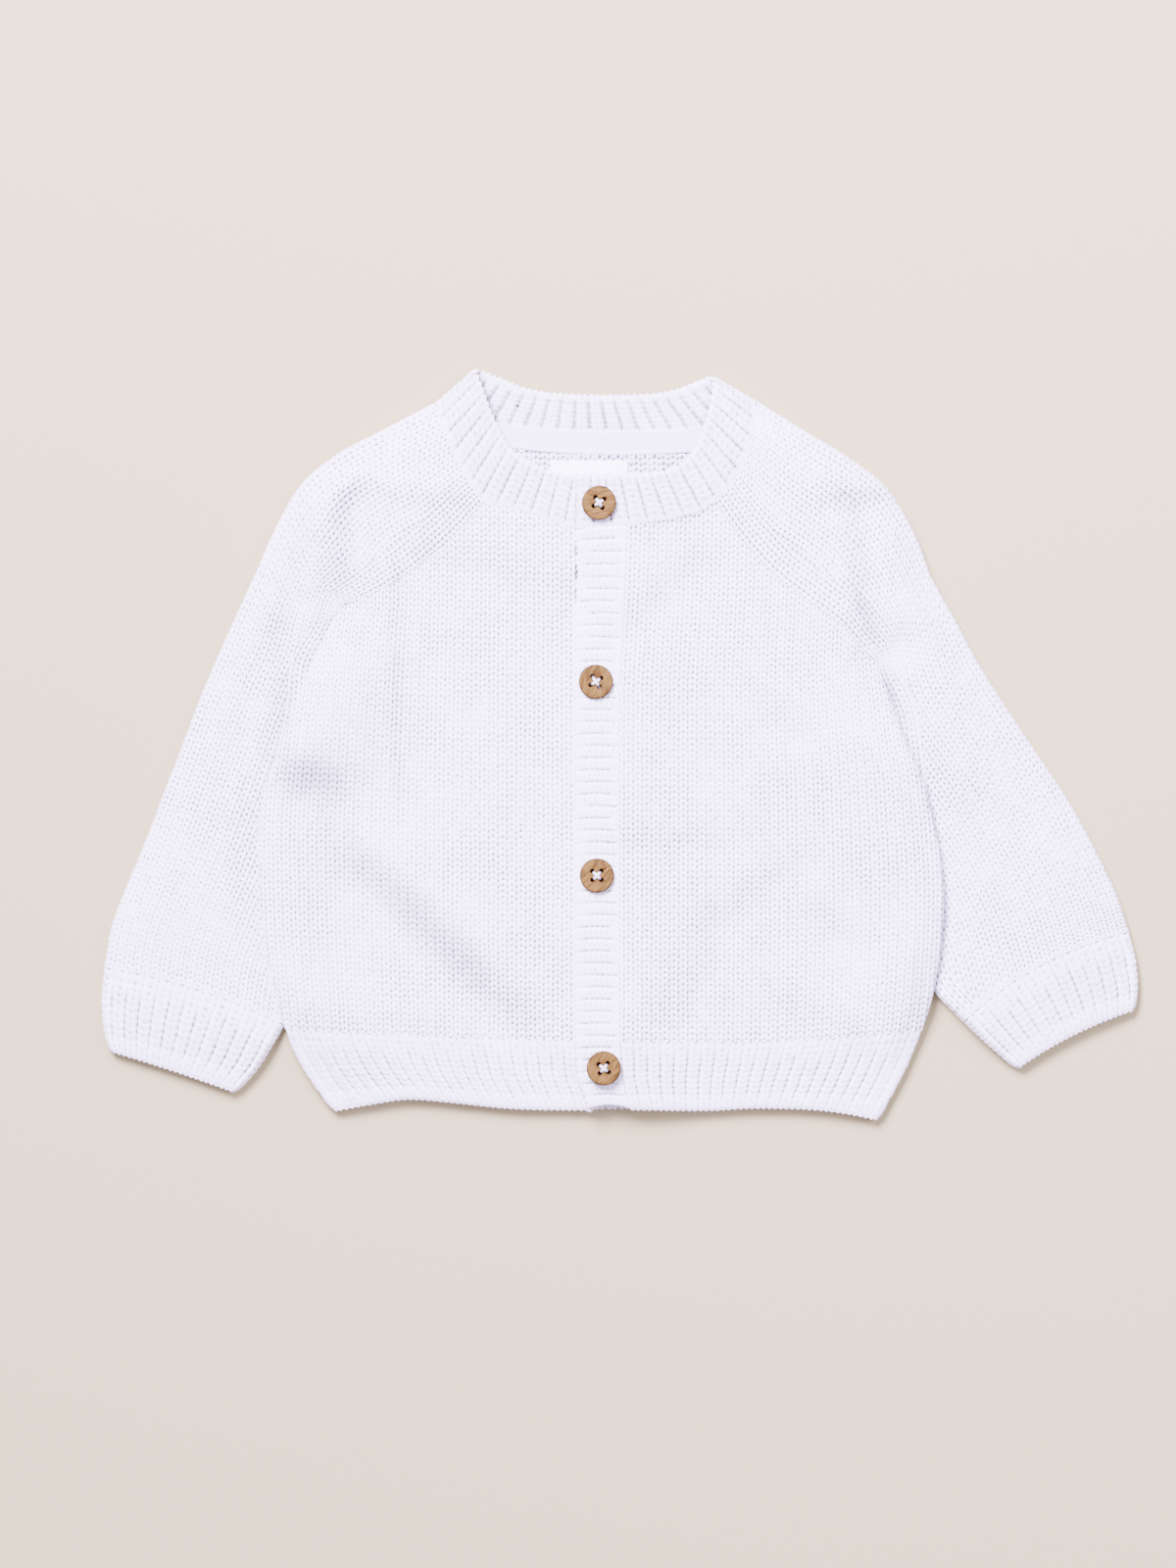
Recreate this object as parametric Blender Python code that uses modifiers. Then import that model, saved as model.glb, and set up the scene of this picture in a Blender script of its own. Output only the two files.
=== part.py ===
"""Baby cardigan laid out flat, front up: raglan sleeves, ribbed edges, button bands, wooden buttons.

X runs across the chest, Y from the hem up to the neck, Z up from the surface the cardigan lies on.
Left and right are the wearer's, so the right side lies at -X. Tables and sizes are in millimetres.
"""

import math

import bmesh
import bpy
import numpy as np

MM = 0.001  # metres in one millimetre, the unit of every size below

# Cloth
WALL = 2.2  # thickness of the knitted cloth
RIB = 0.6  # how far a rib stands out of the cloth
SEAM = 0.3  # gap between pieces that are sewn together
NECK_SEAM = 0.6  # the same along the curved neckband seam, whose straight steps bulge
LAYER = 0.4  # gap between the lower and the upper layer of cloth
FOLD_RADIUS = (WALL + LAYER) / 2  # middle of the cloth where it turns over at a fold
FOLD_REACH = FOLD_RADIUS + WALL / 2  # from a fold's outside to where the cloth lies flat
FOLD_MIDDLE = WALL + LAYER / 2  # height halfway between the two layers
TRIM = 1.0  # thickness of the tape and the label

# How the body lies on the inner edges of the sleeves
LIFT = 5.5  # height of the body's underside over a sleeve
LIFT_PLATEAU = 12.0  # width beside the body's edge that is lifted fully
LIFT_SLOPE = 30.0  # width over which the cloth comes down to the surface
LIFT_RISE = 29.0  # length past the underarm over which the lift grows
LIFT_START = 1.0  # it starts this much above the underarm
LIFT_FALL = 16.0  # length below the notch over which it ends

# Rounded outer edge of the body
EDGE_ROUND = 2.6
EDGE_DROP = 1.1

# Ease between the two layers of cloth, which the folds raise or lower
EASE = 1.6
LEAST_EASE = 0.9
MOST_EASE = 3.3
SIDE_SOFT = 9.0  # width beside the body's edge over which the ease grows
FOLD_SOFT = 13.0  # the same beside the outer fold of a sleeve and the shoulder
HEM_SOFT = 30.0  # the same above the hem's edge
HEM_EASE = 0.3  # share of the ease left at the hem's edge
HEM_LEVEL = -140.0

# Ribs along each edge
CUFF_RIBS = 11
HEM_RIBS = {"right": 22, "left": 22}
NECK_RIBS = {"right": 14, "back": 20, "left": 14}
BAND_RIBS = 48

# Button bands: x of both edges of the upper one at each height
BAND = [
    # y, left edge in the view (-X), right edge in the view (+X)
    (82.4, -17.2, 2.4),
    (60.0, -17.2, 1.7),
    (22.5, -17.2, -0.3),
    (-52.5, -17.0, -0.4),
    (-113.0, -17.0, -0.4),
    (-127.5, -16.2, 0.6),
    (-139.0, -12.0, 3.4),
    (-141.0, -11.3, 4.0),
]
BAND_TOP = 82.1
BAND_BOTTOM = -139.0
STEP = WALL + RIB + LAYER  # the upper band lies this much above the lower one
STEP_SLOPE = 20.0  # width over which the left front comes down from the upper band
BAND_CORNER = 1.9  # the lower band's corner reaches this far below the upper band
BAND_CORNER_RUN = 0.1  # share of the band's length over which the corner drops
BAND_UNDERLAP = 1.5  # the lower band stops this far short of the upper one's edge
NECK_LOWER_END = -1.2  # x where the neckband's lower end stops, under the upper end

# Buttons
BUTTON_RADIUS = 6.55
BUTTON_THICK = 2.7
BUTTON_EDGE = 0.8  # rounding of the rim
BUTTON_DISH = 0.5  # depth of the hollow in the face
BUTTON_DISH_RADIUS = 3.9
BUTTON_HOLE = 0.85
BUTTON_HOLE_PITCH = 1.45  # from the centre to each hole, in x and in y
BUTTONS = [
    # name, x, y, turn in degrees
    ("button_1", -8.2, 92.2, 10.0),
    ("button_2", -9.4, 24.0, 40.0),
    ("button_3", -9.0, -49.9, 20.0),
    ("button_4", -6.4, -123.4, 0.0),
]

# Neck tape and label, on the inside of the back
TAPE_ENDS = (-49.5, 39.0)
TAPE_WIDTH = 9.2
LABEL_X = (-27.0, 3.0)
LABEL_Y = (94.5, 108.8)

# Outlines of each side, as (x, y) in order from the first place named to the second
SIDES = {
    "right": {
        # side edge of the body, underarm to the start of the hem rib
        "side": [(-106.1, 53.2), (-111.8, 45.0), (-116.6, 35.6), (-121.9, 22.5), (-130.5, 0.0),
                 (-136.1, -16.9), (-138.9, -33.8), (-138.2, -52.5), (-136.9, -71.2), (-133.1, -90.0),
                 (-128.6, -108.8)],
        # side edge of the hem rib, down to its corner
        "hem_side": [(-128.6, -108.8), (-125.6, -117.0), (-119.6, -128.0), (-110.6, -140.2)],
        # front raglan seam, underarm to neckband
        "raglan_front": [(-106.1, 53.2), (-96.4, 57.0), (-87.4, 61.5), (-77.2, 68.5), (-65.0, 79.0),
                         (-52.1, 92.6)],
        # back raglan seam, underarm to neckband, under the sleeve
        "raglan_back": [(-106.1, 53.2), (-92.0, 74.0), (-76.0, 98.0), (-58.5, 125.4)],
        # neckband seam, button band to raglan seam
        "neck_front": [(-17.4, 82.6), (-27.0, 86.0), (-38.0, 89.6), (-46.9, 91.9), (-52.1, 92.6)],
        # neckband seam over the sleeve, raglan seam to shoulder fold
        "neck_sleeve": [(-52.1, 92.6), (-57.4, 99.8), (-63.2, 110.2), (-67.8, 121.5), (-71.2, 131.2)],
        # free edge of the neckband, button band to shoulder fold
        "neck_free": [(-17.4, 102.6), (-27.4, 104.8), (-37.5, 109.4), (-43.0, 114.5), (-49.1, 126.0),
                      (-52.9, 136.1), (-55.9, 144.4)],
        "notch": -110.0,  # y where the sleeve's inner edge comes out from under the body
        # outer fold of the sleeve at each fifth of the raglan seams, neckband to underarm
        "shoulder": [(-72.4, 128.9), (-91.1, 120.8), (-108.0, 111.8), (-121.9, 100.5),
                     (-131.6, 84.4), (-139.1, 67.5)],
        # below the underarm: outer fold x, y; inner edge x, y; bow of the course towards the cuff
        "arm": [
            (-146.3, 51.8, -112.1, 45.0, 0.0),
            (-153.4, 36.0, -118.9, 31.1, 0.0),
            (-160.5, 19.5, -120.0, 14.3, 0.0),
            (-167.6, 0.8, -123.0, -3.8, 0.0),
            (-175.5, -19.5, -129.8, -29.3, 0.0),
            (-182.3, -37.5, -129.2, -50.6, 0.0),
            (-189.4, -54.4, -127.9, -71.3, -1.0),
            (-195.0, -69.4, -126.2, -91.1, -2.0),
            (-197.8, -85.1, -128.3, -107.3, -3.0),
        ],
        "cuff": [
            (-197.8, -85.1, -128.3, -107.3, -3.0),
            (-198.8, -97.0, -133.1, -115.5, -2.0),
            (-198.2, -108.0, -139.1, -124.9, -1.0),
            (-195.8, -117.0, -147.0, -133.1, -0.5),
        ],
    },
    "left": {
        "side": [(97.5, 31.9), (100.1, 26.2), (105.0, 13.9), (109.5, 1.1), (115.1, -11.2),
                 (119.6, -28.1), (122.8, -45.0), (123.8, -60.0), (122.8, -75.0), (120.0, -94.9),
                 (115.9, -109.5)],
        "hem_side": [(115.9, -109.5), (113.6, -115.5), (108.5, -127.0), (99.4, -143.6)],
        "raglan_front": [(97.5, 31.9), (91.0, 38.5), (84.0, 46.0), (71.2, 55.5), (57.8, 66.0),
                         (46.0, 79.0), (36.2, 93.0)],
        "raglan_back": [(97.5, 31.9), (82.0, 60.0), (62.0, 94.0), (41.8, 124.8)],
        "neck_front": [(2.6, 84.0), (13.9, 85.5), (24.0, 87.4), (31.5, 90.0), (36.2, 93.0)],
        "neck_sleeve": [(36.2, 93.0), (42.8, 100.1), (47.0, 107.5), (50.6, 119.0), (52.6, 131.8)],
        "neck_free": [(-17.2, 102.8), (2.6, 103.2), (13.9, 103.9), (22.5, 106.9), (28.9, 113.5),
                      (33.0, 124.5), (35.3, 134.0), (35.6, 141.6)],
        "notch": -96.0,
        "shoulder": [(54.2, 129.4), (70.1, 120.8), (87.4, 110.3), (102.4, 98.3), (112.1, 82.5),
                     (119.6, 63.8)],
        "arm": [
            (128.3, 48.0, 101.0, 25.5, 0.0),
            (137.6, 30.8, 106.9, 10.1, 0.0),
            (148.1, 14.3, 108.6, -7.5, 0.0),
            (160.1, -3.8, 110.1, -25.5, 0.0),
            (171.4, -20.6, 113.6, -43.1, 0.0),
            (181.9, -39.8, 114.8, -60.8, -1.0),
            (189.4, -55.5, 114.8, -78.0, -2.0),
            (192.6, -64.0, 119.2, -93.0, -3.5),
            (195.0, -71.4, 131.0, -106.1, -5.0),
        ],
        "cuff": [
            (195.0, -71.4, 131.0, -106.1, -5.0),
            (197.6, -82.5, 137.6, -112.5, -4.0),
            (198.4, -93.0, 144.8, -118.9, -3.0),
            (197.2, -101.2, 151.5, -124.1, -2.0),
        ],
    },
}

# Start of the hem rib on each front, side edge to button band, and the hem's edge below it
HEM_TOP = {
    "right": [(-128.6, -108.8), (-72.4, -111.4), (-17.6, -113.2)],
    "left": [(115.9, -109.5), (58.9, -113.6), (0.1, -113.6)],
}
HEM_EDGE = {
    "right": [(-110.6, -140.2), (-95.2, -137.4), (-80.6, -135.6), (-60.4, -137.2), (-40.9, -139.1),
              (-13.0, -139.6)],
    "left": [(99.4, -143.6), (87.0, -141.0), (72.0, -139.3), (50.0, -138.9), (32.6, -139.7),
             (3.9, -139.2)],
}

# The back neckband, from the right shoulder fold to the left one
NECK_BACK_SEAM = [(-71.6, 130.6), (-58.1, 126.4), (-46.1, 122.6), (-22.5, 120.0), (3.8, 119.3),
                  (31.5, 121.0), (42.0, 125.8), (53.2, 131.2)]
NECK_BACK_FREE = [(-55.9, 144.4), (-46.5, 140.6), (-36.0, 136.4), (-22.5, 134.4), (-6.0, 133.9),
                  (11.2, 134.3), (21.4, 136.1), (29.5, 139.2), (35.6, 141.6)]

# Largest folds: a ridge is positive and a trough is negative
FOLDS = [
    # name, from x, y, to x, y, half width, height
    ("sweep to the band", -100.0, -46.0, -36.0, -104.0, 9.0, -1.5),
    ("ridge above the sweep", -93.0, -30.0, -18.0, -96.0, 10.0, 1.5),
    ("swell above the hem", -88.0, -94.0, -62.0, -104.0, 12.0, 0.9),
    ("hollow at the right side", -123.0, -11.0, -112.0, -20.0, 9.0, -1.2),
    ("trough below the raglan", -58.0, 74.0, -82.0, 58.0, 8.0, -0.8),
    ("trough down the right chest", -84.0, 54.0, -85.0, -10.0, 8.0, -0.8),
    ("swell on the right chest", -62.0, 50.0, -40.0, -20.0, 20.0, 0.7),
    ("swell on the left chest", 30.0, 45.0, 45.0, -25.0, 22.0, 0.7),
    ("trough beside the band", 25.0, 64.0, 5.0, 45.0, 7.0, -0.9),
    ("trough on the left flank", 72.0, -44.0, 36.0, -68.0, 9.0, -1.1),
    ("trough above the left hem", 33.0, -82.0, 21.0, -110.0, 8.0, -0.9),
    ("swell beside the left side", 96.0, -30.0, 92.0, -88.0, 13.0, 0.8),
    ("neckline, right", -58.0, 108.0, -22.0, 92.0, 12.0, 0.7),
    ("neckline, left", 14.0, 92.0, 44.0, 112.0, 12.0, 0.7),
    ("right sleeve ridge", -74.0, 101.0, -108.0, 94.0, 9.0, 1.2),
    ("right sleeve ridge, lower", -113.0, 88.0, -117.0, 52.0, 7.0, 1.4),
    ("right underarm crease", -105.4, 85.0, -105.6, 57.0, 3.6, -1.8),
    ("right sleeve trough", -124.0, 76.0, -126.0, 44.0, 6.0, -0.9),
    ("right elbow trough", -131.0, 30.0, -146.0, -4.0, 8.0, -0.8),
    ("right forearm swell", -160.0, -25.0, -168.0, -66.0, 15.0, 0.6),
    ("left shoulder trough", 89.0, 98.0, 100.0, 86.0, 6.5, -1.2),
    ("left underarm crease", 92.6, 79.0, 97.0, 38.0, 3.6, -1.8),
    ("left sleeve ridge", 105.0, 76.0, 113.0, 34.0, 8.0, 1.3),
    ("left elbow ridge", 124.0, 18.0, 140.0, -18.0, 11.0, 1.0),
    ("left elbow trough", 151.0, -2.0, 162.0, -28.0, 8.0, -0.9),
    ("left forearm swell", 165.0, -44.0, 172.0, -76.0, 14.0, 0.6),
]
FOLD_TAPER = 14.0  # length over which a fold fades past its ends

# Colour, roughness and metallic value of each material
MATERIALS = {
    "cotton": ((0.88, 0.86, 0.92), 0.9, 0.0),
    "tape": ((0.90, 0.88, 0.94), 0.85, 0.0),
    "label": ((0.94, 0.94, 0.95), 0.6, 0.0),
    "wood": ((0.55, 0.33, 0.16), 0.5, 0.0),
}


# Lines in the plan

def smooth(share):
    """An S-shaped step from 0 to 1 as share goes from 0 to 1."""
    share = np.clip(share, 0.0, 1.0)
    return share * share * (3.0 - 2.0 * share)


def curve(rows, steps=10):
    """A smooth line through the rows, as many short straight steps."""
    rows = np.array(rows, float)
    ends = [2 * rows[:1] - rows[1:2], rows, 2 * rows[-1:] - rows[-2:-1]]
    rows = np.vstack(ends)
    share = np.linspace(0, 1, steps, endpoint=False)[:, None]
    runs = []
    for a, b, c, d in zip(rows, rows[1:], rows[2:], rows[3:]):
        bend = (2 * a - 5 * b + 4 * c - d) * share**2 + (3 * b - a - 3 * c + d) * share**3
        runs.append(b + 0.5 * ((c - a) * share + bend))
    return np.vstack(runs + [rows[-2:-1]])


def joined(*lines):
    """Lines end to end as one, without the points that they share."""
    return np.vstack([lines[0]] + [line[1:] for line in lines[1:]])


def length_of(line):
    return float(np.linalg.norm(np.diff(line, axis=0), axis=1).sum())


def at(line, shares):
    """The points of a line at these shares of its length."""
    steps = np.linalg.norm(np.diff(line, axis=0), axis=1)
    along = np.concatenate([[0.0], np.cumsum(steps)])
    places = np.asarray(shares, float) * along[-1]
    return np.stack([np.interp(places, along, line[:, k]) for k in range(2)], axis=-1)


def distance_to(line, x, y):
    """Shortest distance in the plan from each point to a line."""
    points = np.stack([x, y], axis=-1)[..., None, :]
    step = np.diff(line, axis=0)
    share = ((points - line[:-1]) * step).sum(-1) / (step**2).sum(-1)
    nearest = line[:-1] + np.clip(share, 0, 1)[..., None] * step
    return np.sqrt(((points - nearest) ** 2).sum(-1)).min(-1)


def patch(bottom, top, start, end, across, along):
    """Plan points of a panel between four lines, at shares across and along it."""
    u = across[None, :, None]
    v = along[:, None, None]
    low, high = at(bottom, across)[None], at(top, across)[None]
    first, last = at(start, along)[:, None], at(end, along)[:, None]
    corners = (1 - u) * ((1 - v) * bottom[0] + v * top[0]) + u * ((1 - v) * bottom[-1] + v * top[-1])
    return (1 - v) * low + v * high + (1 - u) * first + u * last - corners


SIDE_LINE = {side: curve(SIDES[side]["side"]) for side in SIDES}
HEM_SIDE_LINE = {side: curve(SIDES[side]["hem_side"]) for side in SIDES}
BODY_EDGE = {side: joined(SIDE_LINE[side], HEM_SIDE_LINE[side]) for side in SIDES}
OUTER_FOLD = {
    side: curve(data["shoulder"] + [row[:2] for row in data["arm"] + data["cuff"][1:]])
    for side, data in SIDES.items()
}
SHOULDER_FOLD = {
    side: np.array([SIDES[side]["neck_sleeve"][-1], SIDES[side]["neck_free"][-1]]) for side in SIDES
}
SIGN = {"right": -1.0, "left": 1.0}


# Heights

def beyond_edge(side, x, y):
    """True where a point lies outside the body's edge on this side."""
    edge = BODY_EDGE[side]
    edge_x = np.interp(y, edge[::-1, 1], edge[::-1, 0])
    return (y < edge[0, 1]) & (SIGN[side] * (x - edge_x) > 0)


def lift(x, y):
    """Height of the body's underside, which climbs over the inner edges of the sleeves."""
    height = 0.0
    for side, edge in BODY_EDGE.items():
        depth = np.where(beyond_edge(side, x, y), 0.0, distance_to(edge, x, y))
        rise = 1 - smooth((depth - LIFT_PLATEAU) / LIFT_SLOPE)
        begins = smooth((edge[0, 1] + LIFT_START - y) / LIFT_RISE)
        ends = smooth((y - SIDES[side]["notch"] + LIFT_FALL) / LIFT_FALL)
        height = height + LIFT * rise * begins * ends
    return height


def fold_height(x, y):
    total = 0.0
    for _, x0, y0, x1, y1, width, height in FOLDS:
        run = math.hypot(x1 - x0, y1 - y0)
        ux, uy = (x1 - x0) / run, (y1 - y0) / run
        along = (x - x0) * ux + (y - y0) * uy
        aside = (y - y0) * ux - (x - x0) * uy
        past = np.maximum(np.maximum(-along, along - run), 0.0)
        total = total + height * np.exp(-((aside / width) ** 2) - (past / FOLD_TAPER) ** 2)
    return total


def ease(x, y, sleeve=False):
    """Room between the lower and the upper layer, on top of the gap between them."""
    room = np.clip(EASE + fold_height(x, y), LEAST_EASE, MOST_EASE)
    for side in SIDES:
        from_edge = distance_to(BODY_EDGE[side], x, y)
        if sleeve:
            from_edge = np.where(beyond_edge(side, x, y) | (y > BODY_EDGE[side][0, 1]), from_edge, 0.0)
            from_edge = np.where(SIGN[side] * x > 0, from_edge, SIDE_SOFT)
        room = room * smooth(from_edge / SIDE_SOFT)
        room = room * smooth(distance_to(OUTER_FOLD[side], x, y) / FOLD_SOFT)
        room = room * smooth(distance_to(SHOULDER_FOLD[side], x, y) / FOLD_SOFT)
    return room * (HEM_EASE + (1 - HEM_EASE) * smooth((y - HEM_LEVEL) / HEM_SOFT))


def upper_level(x, y, sleeve=False):
    """Underside of the upper layer of cloth."""
    base = 0.0 if sleeve else lift(x, y)
    return base + WALL + LAYER + ease(x, y, sleeve)


def edge_rounding(x, y):
    """How much a layer thins beside the body's edge."""
    drop = 0.0
    for edge in BODY_EDGE.values():
        inside = np.clip(1 - distance_to(edge, x, y) / EDGE_ROUND, 0, 1)
        drop = drop + EDGE_DROP * (1 - np.sqrt(1 - inside**2))
    return drop


def band_edges(y):
    table = np.array(BAND)[::-1]
    return np.interp(y, table[:, 0], table[:, 1]), np.interp(y, table[:, 0], table[:, 2])


def step(x, y):
    """Extra height of the left front, which laps over the right one at the bands."""
    return STEP * (1 - smooth((x - band_edges(y)[1]) / STEP_SLOPE))


# Solids

def shared_material(name):
    found = bpy.data.materials.get(name)
    if found:
        return found
    colour, roughness, metallic = MATERIALS[name]
    material = bpy.data.materials.new(name)
    material.use_nodes = True
    shader = material.node_tree.nodes["Principled BSDF"]
    shader.inputs["Base Color"].default_value = (*colour, 1.0)
    shader.inputs["Roughness"].default_value = roughness
    shader.inputs["Metallic"].default_value = metallic
    return material


def added(name, mesh, material):
    thing = bpy.data.objects.new(name, mesh)
    mesh.materials.append(shared_material(material))
    collection.objects.link(thing)
    return thing


def wall(name, outer, inner, material="cotton"):
    """A closed wall of cloth between two grids of points that match row by row."""
    rows, columns = outer.shape[:2]
    inner_start = rows * columns

    def outside(i, j):
        return i * columns + j

    def inside(i, j):
        return inner_start + i * columns + j

    faces = []
    for i in range(rows - 1):
        for j in range(columns - 1):
            faces.append((outside(i, j), outside(i, j + 1), outside(i + 1, j + 1), outside(i + 1, j)))
            faces.append((inside(i, j), inside(i + 1, j), inside(i + 1, j + 1), inside(i, j + 1)))
    for i in range(rows - 1):
        for j in (0, columns - 1):
            faces.append((outside(i, j), outside(i + 1, j), inside(i + 1, j), inside(i, j)))
    for j in range(columns - 1):
        for i in (0, rows - 1):
            faces.append((outside(i, j), inside(i, j), inside(i, j + 1), outside(i, j + 1)))
    points = np.vstack([outer.reshape(-1, 3), inner.reshape(-1, 3)]) * MM
    mesh = bpy.data.meshes.new(name)
    mesh.from_pydata([tuple(p) for p in points], [], faces)
    work = bmesh.new()
    work.from_mesh(mesh)
    bmesh.ops.recalc_face_normals(work, faces=work.faces)
    work.to_mesh(mesh)
    work.free()
    mesh.shade_smooth()
    mesh.set_sharp_from_angle(angle=math.radians(50))
    return added(name, mesh, material)


def layer(name, plan, low, high, material="cotton"):
    """A piece that lies flat: its plan points with the heights of its two faces."""
    upper = np.concatenate([plan, high[..., None]], axis=-1)
    lower = np.concatenate([plan, low[..., None]], axis=-1)
    return wall(name, upper, lower, material)


def rib_profile(count, corners=3):
    """Shares and heights of the corners of a row of ribs, from 0 to 1."""
    phases = [0.0, 0.3, 0.7] if corners == 3 else [0.0, 0.5]
    shares = [(k + phase) / count for k in range(count) for phase in phases]
    heights = [0.0 if phase == 0.0 else RIB for _ in range(count) for phase in phases]
    return np.array(shares + [1.0]), np.array(heights + [0.0])


def inset(shares, start, end, length):
    """Shares squeezed to leave a gap in millimetres at each end of a line this long."""
    return (start + shares * (length - start - end)) / length


# Body

PANEL_ROWS = np.linspace(0, 1, 22)
EDGE_COLUMNS = [0.0, 1.0, 2.6, 7.0, 13.0, 20.0, 28.0, 37.0]  # from the body's edge


def band_line(side, top, bottom, gap):
    """Plan line down the edge of a front where the bands begin, from the hem upwards."""
    y = np.linspace(bottom, top, 24)
    low, high = band_edges(y)
    return np.stack([low - gap if side == "right" else high + gap, y], axis=-1)


def make_front(side):
    data = SIDES[side]
    hem = curve(HEM_TOP[side])
    top = joined(curve(data["raglan_front"]), curve(data["neck_front"])[::-1])
    start = SIDE_LINE[side][::-1]
    end = band_line(side, top[-1, 1], hem[-1, 1], SEAM)
    hem[-1], top[-1] = end[0], end[-1]
    width = length_of(hem)
    rest = np.linspace(EDGE_COLUMNS[-1], width, 9)[1:]
    across = np.concatenate([EDGE_COLUMNS, rest]) / width
    along = inset(PANEL_ROWS, SEAM / 2, NECK_SEAM, length_of(start))
    plan = patch(hem, top, start, end, across, along)
    x, y = plan[..., 0], plan[..., 1]
    low = upper_level(x, y)
    if side == "left":
        low = low + step(x, y)
    layer(f"front_{side}", plan, low, low + WALL - edge_rounding(x, y))


def make_back():
    right, left = SIDES["right"], SIDES["left"]
    hem = joined(curve(HEM_TOP["right"]), np.array([HEM_TOP["right"][-1], HEM_TOP["left"][-1]]),
                 curve(HEM_TOP["left"])[::-1])
    neck = curve(NECK_BACK_SEAM[1:-1])
    top = joined(curve(right["raglan_back"]), neck, curve(left["raglan_back"])[::-1])
    start, end = SIDE_LINE["right"][::-1], SIDE_LINE["left"][::-1]
    width = length_of(hem)
    middle = np.linspace(EDGE_COLUMNS[-1], width - EDGE_COLUMNS[-1], 8)[1:-1]
    mirrored = width - np.array(EDGE_COLUMNS[::-1])
    across = np.concatenate([EDGE_COLUMNS, middle, mirrored]) / width
    along = inset(PANEL_ROWS, SEAM / 2, NECK_SEAM, length_of(start))
    plan = patch(hem, top, start, end, across, along)
    x, y = plan[..., 0], plan[..., 1]
    low = lift(x, y)
    layer("back", plan, low + edge_rounding(x, y), low + WALL)


# Hem

HEM_ROWS = np.array([0.0, 0.35, 0.68, 1.0])


def hem_plan(top, edge, start, end, across):
    along = inset(HEM_ROWS, 0.0, SEAM / 2, length_of(start))
    return patch(edge, top, start, end, across, along)


def make_hem_front(side):
    top, edge = curve(HEM_TOP[side]), curve(HEM_EDGE[side])
    start = HEM_SIDE_LINE[side][::-1]
    end = band_line(side, top[-1, 1], edge[-1, 1], SEAM)
    top[-1], edge[-1] = end[-1], end[0]
    across, ribs = rib_profile(HEM_RIBS[side])
    plan = hem_plan(top, edge, start, end, across)
    x, y = plan[..., 0], plan[..., 1]
    low = upper_level(x, y)
    if side == "left":
        low = low + step(x, y)
    layer(f"hem_front_{side}", plan, low, low + WALL + ribs[None, :] - edge_rounding(x, y))


def make_hem_back():
    def both(table):
        middle = np.array([table["right"][-1], table["left"][-1]])
        return joined(curve(table["right"]), middle, curve(table["left"])[::-1])

    top, edge = both(HEM_TOP), both(HEM_EDGE)
    start, end = HEM_SIDE_LINE["right"][::-1], HEM_SIDE_LINE["left"][::-1]
    width = length_of(top)
    middle = np.linspace(EDGE_COLUMNS[-1], width - EDGE_COLUMNS[-1], 6)[1:-1]
    across = np.concatenate([EDGE_COLUMNS, middle, width - np.array(EDGE_COLUMNS[::-1])]) / width
    plan = hem_plan(top, edge, start, end, across)
    x, y = plan[..., 0], plan[..., 1]
    low = lift(x, y)
    layer("hem_back", plan, low + edge_rounding(x, y), low + WALL)


# Sleeves and cuffs: a sheet bent round the outer fold, whose edges meet at the underarm seam

SEAM_ARC = 3  # points of the bend at the underarm seam
SEAM_INSET = 1.0  # the flat cloth ends this far from an open raglan seam
OUTER_ARC = 3  # steps of each quarter of the outer fold
UNDERARM_TURN = math.radians(83)


def bowed(start, end, shares, bow):
    """Points from start to end, pushed aside by bow in the middle, to the right of the way."""
    chord = end - start
    across = np.array([chord[1], -chord[0]]) / np.linalg.norm(chord)
    shares = shares[:, None]
    return start + shares * chord + 4 * shares * (1 - shares) * bow * across


def sleeve_section(outer, front, back, bow, bend, upper_shares, side, neck_curve=None, pull=0.0):
    """Middle points, normals and flat-part shares of one section, front edge to back edge."""
    middles, normals = [], []
    for target, is_upper in ((front, True), (back, False)):
        width = np.linalg.norm(target - outer)
        out = (outer - target) / width
        shares = upper_shares if is_upper else np.linspace(0, 1, 5)
        first = FOLD_REACH / width
        last = 1 - (FOLD_REACH * bend + SEAM_INSET * (1 - bend)) / width
        flat = bowed(outer, target, first + shares * (last - first), -SIGN[side] * bow)
        if is_upper and neck_curve is not None:
            straight = bowed(outer, target, first + shares * (last - first), 0.0)
            flat = flat + pull * (at(neck_curve, first + shares * (last - first)) - straight)
        level = np.full(len(flat), WALL / 2)
        if is_upper:
            level = upper_level(flat[:, 0], flat[:, 1], sleeve=True) + WALL / 2
        up = 1.0 if is_upper else -1.0
        points = [np.append(p, z) for p, z in zip(flat, level)]
        directions = [np.array([0.0, 0.0, up])] * len(flat)
        outer_arc, outer_normals = [], []
        for k in range(1, OUTER_ARC + 1 if is_upper else OUTER_ARC):
            angle = math.pi / 2 * (1 - k / OUTER_ARC)
            place = flat[0] + out * FOLD_RADIUS * math.cos(angle)
            height = FOLD_MIDDLE + (level[0] - FOLD_MIDDLE) * math.sin(angle)
            outer_arc.append(np.append(place, height))
            outer_normals.append(np.append(out * math.cos(angle), up * math.sin(angle)))
        seam_arc, seam_normals = [], []
        for k in range(1, SEAM_ARC):
            share = k / (SEAM_ARC - 1)
            angle = math.pi / 2 - bend * UNDERARM_TURN * share
            reach = FOLD_RADIUS * bend * math.cos(angle) + (1 - bend) * share
            place = flat[-1] - out * reach
            height = FOLD_MIDDLE + (level[-1] - FOLD_MIDDLE) * math.sin(angle)
            seam_arc.append(np.append(place, height))
            seam_normals.append(np.append(-out * math.cos(angle), up * math.sin(angle)))
        run = outer_arc[::-1] + points + seam_arc
        turns = outer_normals[::-1] + directions + seam_normals
        if is_upper:
            middles, normals = run[::-1], turns[::-1]
        else:
            middles, normals = middles + run, normals + turns
    return np.array(middles), np.array(normals)


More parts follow.
